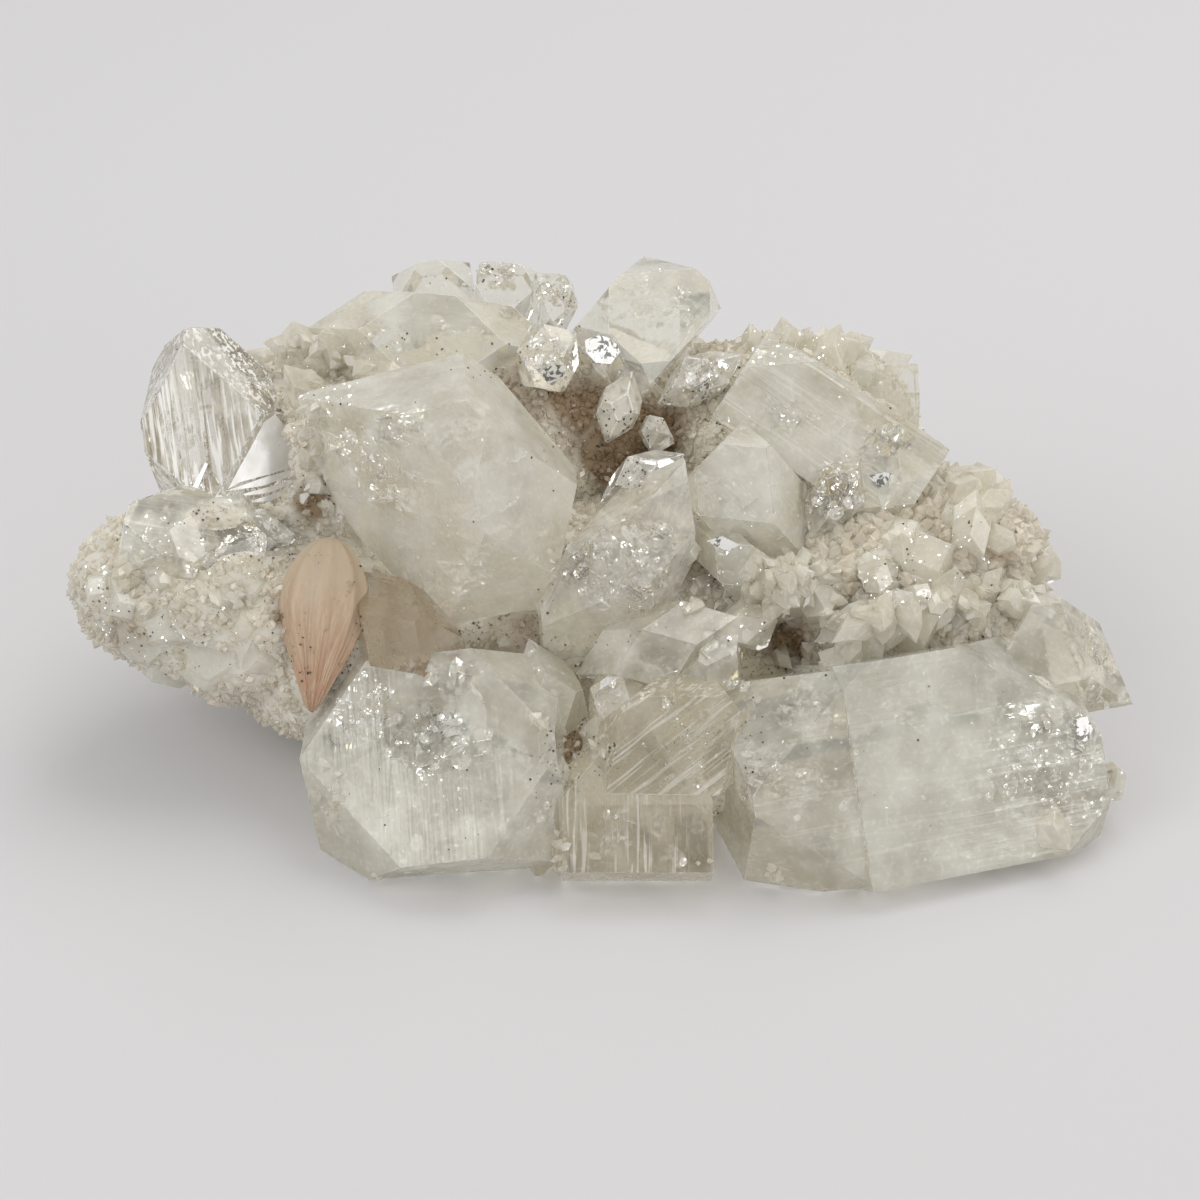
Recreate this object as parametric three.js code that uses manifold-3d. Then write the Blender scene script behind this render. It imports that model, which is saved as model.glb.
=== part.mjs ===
// An apophyllite cluster: blocky tetragonal crystals with pyramid ends, grown over a drusy matrix,
// with one peach bow-tie sheaf of stilbite on its left side.
// Millimetres, +Z up. The origin is under the middle of the specimen, on the plane it rests on.
// Its long side lies along X and its best face looks along -Y.
import * as THREE from 'three';
import { ConvexGeometry } from 'three/addons/geometries/ConvexGeometry.js';
import { mergeVertices } from 'three/addons/utils/BufferGeometryUtils.js';
import Module from 'manifold-3d';

// ---- driving dimensions ----
const seam = 0.3;            // gap between two pieces that grew against each other
const restPlane = 0;         // height of the broken flat that the matrix lies on
const toOrigin = [-0.15, -0.49, 0];   // brings the middle of the finished specimen over the origin
const crystalFoot = 0.4;     // no crystal reaches lower than this
const pyramidSlope = 60.5;   // angle between the c axis and a pyramid face's normal, in degrees
const scoopDetail = 9;       // how finely a shell-shaped break is divided
const lumpDetail = 2;        // how finely a large lump of matrix is divided
const roughness = 1.1;       // how far the matrix surface wanders from its lumps
const roughSpacing = 5.5;    // distance between two bumps of the matrix surface
const perchedSeed = 411;

// ---- crystals ----
// at: the crystal's centre. heading and tilt: compass direction and rise of its c axis, in degrees.
// spin: turn about the c axis. half: distance of the prism faces from the axis, as one number, or as
// [front, back, right, left]. top and foot: where the pyramid faces would meet the axis above and
// below the centre, as one number or one for each face. cap and base: where a flat end cuts it off.
// scoop: a ball that takes a shell-shaped break out of it.
const leftCrystals = {
  tall: {
    at: [-39.2, 12.4, 27.3], heading: 103, tilt: 43, spin: 68, half: [6.5, 6.5, 9.1, 5.7],
    top: [16.8, 11.6, 15, 17], foot: [17.2, 13.3, 15, 16.6], cap: 11, base: 12,
  },
  glassy: {
    at: [-39.4, -0.6, 21.2], heading: -5, tilt: -7, spin: 100, half: 5, top: 12, foot: 16, base: 8,
  },
};
// The crystals of the middle and the front have grown into one another.
const centreCrystals = {
  large: {
    at: [-15.4, 2.5, 29.7], heading: 155, tilt: 75, spin: -15, half: [8, 8, 12.9, 8.6],
    top: [30, 20, 13.5, 36], foot: [26.6, 24.6, 24, 21.6], cap: 11.3,
  },
  clear: {
    at: [2.5, -5, 23.5], heading: 30, tilt: 60, spin: 114, half: [4.9, 3, 5, 4.3],
    top: [13, 13, 13, 11.5], foot: [11, 13, 13, 18],
  },
};
const frontLeftCrystals = {
  scooped: {
    at: [-15.2, -14.5, 4.5], heading: 96, tilt: 39, spin: 77, half: [9, 9, 12.6, 12.6],
    top: [28, 24, 24, 28.5], foot: [28, 24, 24, 25.5], cap: 10.5, base: 10.2,
    scoop: { at: [-18, -25.7, 23.6], radius: 14 },
  },
  blunt: { at: [-5, -11.7, 12.6], heading: 122, tilt: 50, spin: 74, half: 3, top: 6, foot: 7 },
  wedge: { at: [-5.4, -20.5, 6.5], heading: 80, tilt: 58, spin: 70, half: 2.6, top: 6.5, foot: 8 },
  tawny: { at: [-19, -8.5, 17.5], heading: -30, tilt: -35, spin: 155, half: 4, top: 9, foot: 9.5 },
};
const frontMiddleCrystals = {
  ribbed: {
    at: [8.6, -14.8, 9.9], heading: 24, tilt: 30, spin: 138, half: [6, 6, 6, 6.5],
    top: 14, foot: [16, 18, 18, 18], cap: 5.5,
  },
  block: {
    at: [3.6, -21.9, 1.9], heading: 90, tilt: 40, spin: 90, half: [6, 6, 7.2, 7.2],
    top: 20, foot: 30, base: 3.6,
  },
  step: { at: [-1.6, -20, 4.4], heading: 90, tilt: 40, spin: 90, half: 3, top: 9.5, foot: 12, base: 5.5 },
  roof: { at: [11, -11.5, 16.7], heading: 45, tilt: 45, spin: 156, half: 2.8, top: 5.5, foot: 7 },
  shelf: { at: [5.5, -10.5, 17.8], heading: 3, tilt: 22, spin: 166, half: 3.4, top: 8.5, foot: 8.5 },
  chip: { at: [1.7, -13.3, 13.6], heading: 58, tilt: 50, spin: 96, half: 2.2, top: 5.5, foot: 5.5 },
};
const frontRightCrystals = {
  core: {
    at: [29.8, -11.6, 5.7], heading: 17, tilt: -1, spin: 146, half: [10.6, 11, 11.4, 9.6],
    top: [39, 30, 30, 29], foot: [35.5, 30, 30, 31.5], cap: 16.5, base: 19,
  },
  sheath: {
    at: [29.8, -11.6, 5.7], heading: 17, tilt: -1, spin: 146, half: [11, 11, 11.8, 10],
    top: [40, 30, 30, 29.7], foot: [37.4, 30, 30, 32], cap: 17, base: 8.6,
  },
  tail: {
    at: [44.6, -6.8, 13.7], heading: -18, tilt: -23, spin: 141, half: [4.5, 4.5, 5, 5.5],
    top: 9.8, foot: 14, base: 4.4,
  },
};
const rearRightCrystals = {
  chisel: {
    at: [22.5, 8.5, 30], heading: -21, tilt: -27, spin: 140, half: [5.5, 5.5, 4.9, 5.5],
    top: [19, 18, 18, 24], foot: [22.5, 18, 18, 18.5], cap: 11, base: 10.5,
  },
  milky: {
    at: [14.4, 1.6, 27.1], heading: -30, tilt: -35, spin: 135, half: [5, 5, 4.7, 5.2],
    top: 10, foot: 14, base: 5.5,
  },
  upright: {
    at: [29, 14, 31], heading: 93, tilt: 55, spin: 87, half: [3, 3, 3.4, 3.4],
    top: 10.6, foot: 9, cap: 3.5,
  },
  sparkly: { at: [23.5, 1.4, 28], heading: 52, tilt: 37, spin: 131, half: 2.4, top: 5.6, foot: 5.6 },
  flank: { at: [14, -4.3, 22.4], heading: -30, tilt: -35, spin: 135, half: 2.4, top: 5.4, foot: 7 },
};
const crestCrystals = {
  crest: {
    at: [4, 17, 36.6], heading: 50, tilt: 19, spin: 125, half: [5.2, 5.2, 4.2, 5.4],
    top: [16, 14, 14, 14.5], foot: 14, cap: 7.5, base: 4.8,
  },
  mirror: { at: [0.7, 12.3, 37.5], heading: 107, tilt: 54, spin: 56, half: 1.5, top: 3.5, foot: 3.5 },
};
const rearLeftCrystals = {
  slab: {
    at: [-16.8, 15.8, 37], heading: -3, tilt: -5, spin: 145, half: [4.5, 4.5, 4.3, 4.3],
    top: 13, foot: 13,
  },
  tower: { at: [-17, 22.5, 38.5], heading: 104, tilt: 44, spin: 79, half: 4.1, top: 9, foot: 12, cap: 2.6 },
  cube: { at: [-9.8, 21.7, 39.8], heading: 78, tilt: 44, spin: 100, half: 2.9, top: 7.5, foot: 8, cap: 1.9 },
  dark: { at: [-5.2, 20.2, 39.2], heading: 78, tilt: 44, spin: 130, half: 2.2, top: 5.5, foot: 6, cap: 2.4 },
  gem: {
    at: [-5.2, 11.4, 37.6], heading: 73, tilt: 54, spin: 84, half: 2.5,
    top: 6, foot: 6, cap: 3, base: 3.3,
  },
};
const backCrystals = {
  broad: {
    at: [-12, 20, 17], heading: -108, tilt: -22, spin: 40, half: [6.5, 6.5, 7.5, 7.5],
    top: 17, foot: 17, cap: 9, base: 8,
  },
  point: { at: [-24, 21, 22], heading: 135, tilt: 18, spin: 30, half: 3.6, top: 9.5, foot: 10 },
};
const backRightCrystals = {
  broad: {
    at: [24, 15, 14.5], heading: 74, tilt: 20, spin: 52, half: [5.2, 5.2, 6, 6],
    top: 14.5, foot: 16, cap: 7.5, base: 8.5,
  },
  point: { at: [35, 11, 12.5], heading: 28, tilt: 10, spin: 20, half: 3.4, top: 9.5, foot: 9.5 },
};
const nookCrystal = {
  nook: { at: [4.2, 3.3, 28.4], heading: 9, tilt: 30, spin: 125, half: 2, top: 5, foot: 5 },
};
const riderCrystal = {
  rider: { at: [27.3, -9.1, 19.9], heading: 3, tilt: 22, spin: 166, half: 2.4, top: 6, foot: 7 },
};
const brightCrystal = {
  bright: { at: [10, 10.5, 35.6], heading: 9, tilt: 30, spin: 125, half: 2, top: 5, foot: 5 },
};
const beadCrystal = {
  bead: { at: [1.9, 8.3, 33.6], heading: 58, tilt: 50, spin: 126, half: 2, top: 4, foot: 4 },
};
const lowBackCrystal = {
  low: { at: [1, 22.5, 11], heading: 62, tilt: 12, spin: 55, half: 4.2, top: 9.5, foot: 12, cap: 6 },
};

// ---- stilbite ----
const sheaf = {
  tip: [-28.2, -14.6, 12.6],     // where the blades come together
  crown: [-26.4, -3.2, 25.8],    // top of the rounded free end
  side: [0.94, -0.25, 0],        // direction of its width
  width: 5, thickness: 3.6,      // half of each
  ribs: 9, ribDepth: 0.05,
};

// ---- matrix ----
// Lumps that run into one another: the middle of each, and its radii.
const lumps = [
  { at: [0, 4, 10], size: [37, 12.5, 15.5] },
  { at: [-41, 0, 17.5], size: [12.6, 10.5, 8.5] },
  { at: [-34, -1.5, 15], size: [11, 10, 8.5] },
  { at: [-28, -1, 12], size: [10.5, 11, 10.5] },
  { at: [-26, 13, 24.5], size: [14, 11.5, 10.5] },
  { at: [-8, 15, 27], size: [19, 11, 9] },
  { at: [18, 14, 26.5], size: [15, 10.5, 9.5] },
  { at: [29.3, 4, 15.8], size: [16, 13, 11] },
  { at: [4, -11, 5.5], size: [21, 9, 6] },
  { at: [38, -6, 8], size: [11, 12, 8.5] },
];

// Crystals of middle size that stand alone on the matrix.
const perched = [
  { at: [18.5, -6, 21.5], half: 2.5 },
  { at: [15.5, -5.5, 22], half: 2.1 },
  { at: [21.5, -7, 20.5], half: 1.9 },
  { at: [14, -9, 19], half: 2 },
  { at: [27.5, -5.5, 20.5], half: 2.2 },
  { at: [34.5, -5.5, 19.5], half: 2.1 },
  { at: [30, -3, 22.5], half: 1.7 },
  { at: [-30.5, 16, 35], half: 2 },
  { at: [-26.5, 16, 35], half: 2.3 },
  { at: [-21.5, 11.5, 35], half: 2.2 },
  { at: [5.5, 7, 31.5], half: 1.3 },
  { at: [0, -15.5, 10.5], half: 1.6 },
  { at: [43.5, -21, 3.5], half: 1.8 },
  { at: [50.5, -15, 4.5], half: 1.4 },
];

// Small crystals sit in clouds: middle and spread of each cloud, how many, and their size.
const clouds = [
  { at: [36, 0, 25], spread: [13, 8, 8], count: 14, half: [1, 1.9], seed: 411 },
  { at: [29, -6, 22], spread: [7, 4, 4], count: 3, half: [1, 1.7], seed: 12 },
  { at: [20, 15, 36], spread: [10, 7, 5], count: 9, half: [0.9, 1.6], seed: 77 },
  { at: [-29, 15, 35], spread: [9, 8, 5], count: 4, half: [1, 1.8], seed: 5 },
  { at: [-33, 20, 20], spread: [13, 6, 10], count: 3, half: [1.2, 2.4], seed: 31 },
  { at: [8, 20, 22], spread: [24, 8, 12], count: 5, half: [1.2, 2.4], seed: 9 },
  { at: [42, 4, 13], spread: [7, 9, 7], count: 4, half: [1.1, 1.8], seed: 64 },
];

// ---- colours and finishes ----
const clear = { color: 0xd9dccb, roughness: 0.12, metalness: 0 };
const peach = { color: 0xe3b49a, roughness: 0.45, metalness: 0 };
const sugar = { color: 0xc9bda6, roughness: 0.7, metalness: 0 };

const wasm = await Module();
wasm.setup();

const radians = Math.PI / 180;
const slopeOut = Math.sin(pyramidSlope * radians) / Math.SQRT2;
const slopeUp = Math.cos(pyramidSlope * radians);
const corners = [[1, 1], [-1, 1], [-1, -1], [1, -1]];

// A repeatable random number generator.
function seeded(seed) {
  let state = seed;
  return () => {
    state = (state * 1664525 + 1013904223) % 4294967296;
    return state / 4294967296;
  };
}

// Smooth noise between -1 and 1 at a point in space.
function noise(x, y, z) {
  const cell = [Math.floor(x), Math.floor(y), Math.floor(z)];
  const part = [x - cell[0], y - cell[1], z - cell[2]].map((t) => t * t * (3 - 2 * t));
  let sum = 0;
  for (let corner = 0; corner < 8; corner++) {
    const step = [corner & 1, (corner >> 1) & 1, corner >> 2];
    const weight = step.reduce((w, s, i) => w * (s ? part[i] : 1 - part[i]), 1);
    const [a, b, c] = step.map((s, i) => s + cell[i]);
    const wave = Math.sin(a * 127.1 + b * 311.7 + c * 74.7) * 43758.5453;
    sum += weight * (wave - Math.floor(wave));
  }
  return 2 * sum - 1;
}

// The closed solid that a geometry bounds.
function solidOf(geometry) {
  const bare = geometry.clone();
  bare.deleteAttribute('normal');
  bare.deleteAttribute('uv');
  const merged = mergeVertices(bare, 1e-4);
  return new wasm.Manifold(new wasm.Mesh({
    numProp: 3,
    vertProperties: new Float32Array(merged.attributes.position.array),
    triVerts: new Uint32Array(merged.index.array),
  }));
}

function geometryOf(solid) {
  const mesh = solid.getMesh();
  const geometry = new THREE.BufferGeometry();
  geometry.setAttribute('position', new THREE.BufferAttribute(mesh.vertProperties, 3));
  geometry.setIndex(new THREE.BufferAttribute(mesh.triVerts, 1));
  return geometry;
}

const join = (solids) => solids.reduce((all, solid) => all.add(solid));

// The faces of a crystal, each as an outward normal and its distance from the centre.
function facesOf(crystal, grow) {
  const { half, top, foot, cap, base } = crystal;
  const halves = Array.isArray(half) ? half : Array(4).fill(half);
  const tops = Array.isArray(top) ? top : Array(4).fill(top);
  const feet = Array.isArray(foot) ? foot : Array(4).fill(foot);
  const faces = [[1, 0, 0], [-1, 0, 0], [0, 1, 0], [0, -1, 0]]
    .map((normal, i) => ({ normal, far: halves[i] }));
  corners.forEach(([x, y], i) => {
    faces.push({ normal: [x * slopeOut, y * slopeOut, slopeUp], far: tops[i] * slopeUp });
    faces.push({ normal: [x * slopeOut, y * slopeOut, -slopeUp], far: feet[i] * slopeUp });
  });
  if (cap !== undefined) faces.push({ normal: [0, 0, 1], far: cap });
  if (base !== undefined) faces.push({ normal: [0, 0, -1], far: base });
  return faces.map(({ normal, far }) => ({ normal: new THREE.Vector3(...normal), far: far + grow }));
}

// The corners of a crystal: where three faces meet and no other face cuts the point off.
function cornersOf(faces) {
  const found = [];
  const across = new THREE.Vector3();
  for (let i = 0; i < faces.length; i++) {
    for (let j = i + 1; j < faces.length; j++) {
      for (let k = j + 1; k < faces.length; k++) {
        const [a, b, c] = [faces[i], faces[j], faces[k]];
        const det = a.normal.dot(across.crossVectors(b.normal, c.normal));
        if (Math.abs(det) < 1e-6) continue;
        const point = across.clone().multiplyScalar(a.far);
        point.addScaledVector(across.crossVectors(c.normal, a.normal), b.far);
        point.addScaledVector(across.crossVectors(a.normal, b.normal), c.far).divideScalar(det);
        const outside = faces.some(({ normal, far }) => normal.dot(point) > far + 1e-5);
        const known = found.some((other) => other.distanceTo(point) < 1e-3);
        if (!outside && !known) found.push(point);
      }
    }
  }
  return found;
}

// Turns a crystal from its own axes, c along Z, to where it stands.
function placeOf(crystal) {
  const [heading, tilt, spin] = [crystal.heading, crystal.tilt, crystal.spin].map((a) => a * radians);
  const c = new THREE.Vector3(
    Math.cos(tilt) * Math.cos(heading), Math.cos(tilt) * Math.sin(heading), Math.sin(tilt));
  const level = new THREE.Vector3(-Math.sin(heading), Math.cos(heading), 0);
  const x = level.clone().multiplyScalar(Math.cos(spin))
    .addScaledVector(new THREE.Vector3().crossVectors(c, level), Math.sin(spin));
  const y = new THREE.Vector3().crossVectors(c, x);
  return new THREE.Matrix4().makeBasis(x, y, c).setPosition(...crystal.at);
}

function crystalSolid(crystal, grow = 0) {
  const points = cornersOf(facesOf(crystal, grow));
  const solid = solidOf(new ConvexGeometry(points).applyMatrix4(placeOf(crystal)));
  if (!crystal.scoop || grow) return solid;
  const ball = new THREE.IcosahedronGeometry(crystal.scoop.radius, scoopDetail);
  return solid.subtract(solidOf(ball.translate(...crystal.scoop.at)));
}

// True where a point lies inside a crystal or within a margin of it.
function inCrystal(crystal, point, margin) {
  const own = point.clone().applyMatrix4(placeOf(crystal).invert());
  return facesOf(crystal, margin).every(({ normal, far }) => normal.dot(own) <= far);
}

// Everything below a height, to cut the underside off.
function below(height) {
  const box = new THREE.BoxGeometry(200, 200, 50);
  return solidOf(box.translate(0, 0, height - 25));
}

const crystalGroup = (crystals, grow = 0) =>
  join(crystals.map((crystal) => crystalSolid(crystal, grow)));

// One lump of matrix: a ball stretched to its radii, with its surface pushed about by noise.
function lumpSolid({ at, size }) {
  const ball = new THREE.IcosahedronGeometry(1, lumpDetail + (Math.max(...size) > 20 ? 1 : 0));
  const position = ball.attributes.position;
  const point = new THREE.Vector3();
  for (let i = 0; i < position.count; i++) {
    point.fromBufferAttribute(position, i);
    const out = point.clone();
    point.multiply(new THREE.Vector3(...size)).add(new THREE.Vector3(...at));
    const [x, y, z] = point.toArray().map((v) => v / roughSpacing);
    const push = roughness * (noise(x, y, z) + 0.5 * noise(2 * x + 9, 2 * y, 2 * z));
    point.addScaledVector(out, push);
    position.setXYZ(i, ...point);
  }
  return solidOf(ball);
}

// Where a line from a lump's middle leaves the lumps for the last time.
function surfacePoint(lump, direction) {
  const start = new THREE.Vector3(...lump.at);
  let reach = 0;
  for (const { at, size } of lumps) {
    const scale = new THREE.Vector3(1 / size[0], 1 / size[1], 1 / size[2]);
    const from = start.clone().sub(new THREE.Vector3(...at)).multiply(scale);
    const step = direction.clone().multiply(scale);
    const a = step.lengthSq();
    const b = from.dot(step);
    const root = b * b - a * (from.lengthSq() - 1);
    if (root > 0) reach = Math.max(reach, (-b + Math.sqrt(root)) / a);
  }
  return start.addScaledVector(direction, reach);
}

// Crystals that overlap are one solid.
const grown = {
  front_crystals: [centreCrystals, frontLeftCrystals, frontMiddleCrystals, frontRightCrystals],
  left_crystals: [leftCrystals],
  rear_right_crystals: [rearRightCrystals],
  crest_crystals: [crestCrystals],
  rear_left_crystals: [rearLeftCrystals],
  back_crystals: [backCrystals],
  back_right_crystals: [backRightCrystals],
  nook_crystal: [nookCrystal],
  rider_crystal: [riderCrystal],
  bright_crystal: [brightCrystal],
  bead_crystal: [beadCrystal],
  low_back_crystal: [lowBackCrystal],
};
const crystalsOf = (sets) => sets.flatMap((set) => Object.values(set));
const allCrystals = crystalsOf(Object.values(grown).flat());

// Small crystals that grow from the matrix, away from the large ones.
function druseSolids() {
  let random = seeded(perchedSeed);
  const between = (low, high) => low + (high - low) * random();
  const smallCrystal = (at, out, half) => ({
    at,
    heading: Math.atan2(out.y, out.x) / radians + between(-60, 60),
    tilt: Math.asin(out.z) / radians + between(-45, 45),
    spin: between(0, 90),
    half,
    top: half * between(1.9, 2.7),
    foot: half * 4,
    base: half * 1.2,
  });
  const towards = new THREE.Vector3(0, -0.7, 0.7);
  const made = perched.map(({ at, half }) => smallCrystal(at, towards, half));
  for (const cloud of clouds) {
    random = seeded(cloud.seed);
    let placed = 0;
    for (let attempt = 0; attempt < 400 && placed < cloud.count; attempt++) {
      const aim = new THREE.Vector3(...cloud.at.map((v, i) => v + cloud.spread[i] * between(-1, 1)));
      const lump = lumps.reduce((best, each) =>
        aim.distanceTo(new THREE.Vector3(...each.at)) < aim.distanceTo(new THREE.Vector3(...best.at))
          ? each : best);
      const out = aim.clone().sub(new THREE.Vector3(...lump.at)).normalize();
      const root = surfacePoint(lump, out);
      const half = between(...cloud.half);
      if (root.z < 2 || allCrystals.some((crystal) => inCrystal(crystal, root, half * 0.6))) continue;
      made.push(smallCrystal(root.addScaledVector(out, half * 0.35).toArray(), out, half));
      placed++;
    }
  }
  return made.map((crystal) => crystalSolid(crystal));
}

// A flattened sheaf, pinched at its tip and rounded at its crown, with shallow ribs along it.
function sheafSolid(grow = 0) {
  const tip = new THREE.Vector3(...sheaf.tip);
  const crown = new THREE.Vector3(...sheaf.crown);
  const length = tip.distanceTo(crown);
  const up = crown.clone().sub(tip).normalize();
  const side = new THREE.Vector3(...sheaf.side);
  side.addScaledVector(up, -side.dot(up)).normalize();
  const back = new THREE.Vector3().crossVectors(up, side);
  const body = new THREE.SphereGeometry(1, sheaf.ribs * 3, 8).rotateX(Math.PI / 2);
  const position = body.attributes.position;
  for (let i = 0; i < position.count; i++) {
    const [x, y, z] = [position.getX(i), position.getY(i), position.getZ(i)];
    const share = (z + 1) / 2;
    const swell = 0.45 + 0.55 * Math.sin(Math.min(1, share * 1.35) * Math.PI / 2) ** 2;
    const rib = 1 + sheaf.ribDepth * Math.cos(sheaf.ribs * Math.atan2(y, x));
    position.setXYZ(i, x * (sheaf.width * swell * rib + grow), y * (sheaf.thickness * swell * rib + grow),
      z * (length / 2 + grow));
  }
  const middle = tip.clone().add(crown).divideScalar(2);
  const place = new THREE.Matrix4().makeBasis(side, back, up).setPosition(middle);
  return solidOf(body.applyMatrix4(place));
}

// Keeps the largest of the bodies that cutting left.
function largest(solid) {
  return solid.decompose().reduce((best, body) => (body.volume() > best.volume() ? body : best));
}

const cluster = new THREE.Group();

function addPiece(name, solid, look) {
  const material = new THREE.MeshStandardMaterial(look);
  const mesh = new THREE.Mesh(geometryOf(solid.translate(toOrigin)), material);
  mesh.name = name;
  cluster.add(mesh);
}

const floorCut = below(crystalFoot);
for (const [name, sets] of Object.entries(grown)) {
  addPiece(name, crystalGroup(crystalsOf(sets)).subtract(floorCut), clear);
}

const swollen = crystalGroup(allCrystals, seam);
addPiece('stilbite', largest(sheafSolid().subtract(swollen)), peach);

const ground = join([...lumps.map(lumpSolid), ...druseSolids()]).subtract(below(restPlane));
addPiece('matrix', largest(ground.subtract(swollen).subtract(sheafSolid(seam))), sugar);

export default cluster;
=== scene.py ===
import math
import random

import bmesh
import bpy
import numpy as np
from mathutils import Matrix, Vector
from mathutils.bvhtree import BVHTree


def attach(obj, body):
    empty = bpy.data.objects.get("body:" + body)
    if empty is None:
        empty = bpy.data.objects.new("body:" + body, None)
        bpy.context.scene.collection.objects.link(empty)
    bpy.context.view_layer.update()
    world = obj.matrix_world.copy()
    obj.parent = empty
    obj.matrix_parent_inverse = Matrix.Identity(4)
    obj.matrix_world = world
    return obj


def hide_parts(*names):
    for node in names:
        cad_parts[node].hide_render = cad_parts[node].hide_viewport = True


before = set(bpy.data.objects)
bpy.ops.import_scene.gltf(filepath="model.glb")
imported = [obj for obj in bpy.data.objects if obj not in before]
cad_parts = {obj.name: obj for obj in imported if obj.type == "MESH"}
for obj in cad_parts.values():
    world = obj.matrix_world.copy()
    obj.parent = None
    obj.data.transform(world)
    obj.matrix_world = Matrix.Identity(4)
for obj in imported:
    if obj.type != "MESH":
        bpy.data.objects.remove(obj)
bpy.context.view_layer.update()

mm = 0.001
toOrigin = Vector((-0.15, -0.49, 0))  # the cluster's values below are given before this shift, in mm
bpy.ops.object.select_all(action="DESELECT")


cameraPlace = {
    "target": (0, -3, 18),  # mm
    "distance": 270,        # mm
    "rise": 35,             # degrees above the horizon
    "lens": 81,             # mm
    "sensor": 36,           # mm, and square
    "nearest": 0.005,       # m, what is nearer isn't drawn
    "frame": 1200,          # pixels across
}
lamps = {  # place in m, size in m, power in W
    "windowLight": dict(spot=(0.21, 0.25, 0.61), size=(0.5, 0.45), power=1.8, color=(1, 0.99, 0.97)),
    "fillLight": dict(spot=(-0.44, -0.25, 0.43), size=(0.36, 0.36), power=1.0, color=(0.98, 0.99, 1)),
    "frontLight": dict(spot=(0.49, -0.36, 0.13), size=(0.26, 0.22), power=0.55, color=(1, 0.995, 0.99)),
}


def cameraAxes():  # where the camera stands in mm, the way back to it and its own up
    rise = math.radians(cameraPlace["rise"])
    back = Vector((0, -math.cos(rise), math.sin(rise)))
    up = Vector((0, math.sin(rise), math.cos(rise)))
    return Vector(cameraPlace["target"]) + toOrigin + back * cameraPlace["distance"], back, up


def makeCamera():
    tilt = math.pi / 2 - math.radians(cameraPlace["rise"])
    bpy.ops.object.camera_add(location=cameraAxes()[0] * mm, rotation=(tilt, 0, 0))
    camera = bpy.context.object
    camera.data.lens = cameraPlace["lens"]
    camera.data.sensor_width = cameraPlace["sensor"]
    camera.data.clip_start = cameraPlace["nearest"]
    bpy.context.scene.camera = camera


def sightLine(across, down):  # from the camera in mm, through a point of its square frame
    start, back, up = cameraAxes()
    half = cameraPlace["frame"] / 2
    long = cameraPlace["lens"] / cameraPlace["sensor"] * cameraPlace["frame"]
    aim = Vector((1, 0, 0)) * (across - half) / long - up * (down - half) / long - back
    return start, aim.normalized()


makeCamera()
print("stage: camera")


def treeOf(pieces):  # for finding what a line meets
    corners, faces = [], []
    for piece in pieces:
        first = len(corners)
        corners.extend(vert.co / mm for vert in piece.data.vertices)
        faces.extend([first + index for index in face.vertices] for face in piece.data.polygons)
    return BVHTree.FromPolygons(corners, faces)


def spotAt(tree, across, down):  # what the camera sees at a point of its frame: place in mm and normal
    return tree.ray_cast(*sightLine(across, down))[:2]


frameScale = 10  # frame points in a millimetre, about
solidTree = treeOf(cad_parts.values())
crystalTree = treeOf([node for name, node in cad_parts.items() if name not in ("matrix", "stilbite")])


class Value:  # a socket that can be added to, scaled and so on
    def __init__(self, sketch, socket):
        self.sketch = sketch
        self.socket = socket

    def maths(self, operation, *others):
        return self.sketch.node("Math", {"operation": operation}, [self, *others])

    def __add__(self, other):
        return self.maths("ADD", other)

    def __radd__(self, other):
        return self.maths("ADD", other)

    def __sub__(self, other):
        return self.maths("SUBTRACT", other)

    def __rsub__(self, other):
        return self.sketch.node("Math", {"operation": "SUBTRACT"}, [other, self])

    def __mul__(self, other):
        return self.maths("MULTIPLY", other)

    def between(self, low, high):  # 0 at low, 1 at high
        return self.sketch.node("MapRange", {"clamp": True}, {0: self, 1: low, 2: high})


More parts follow.
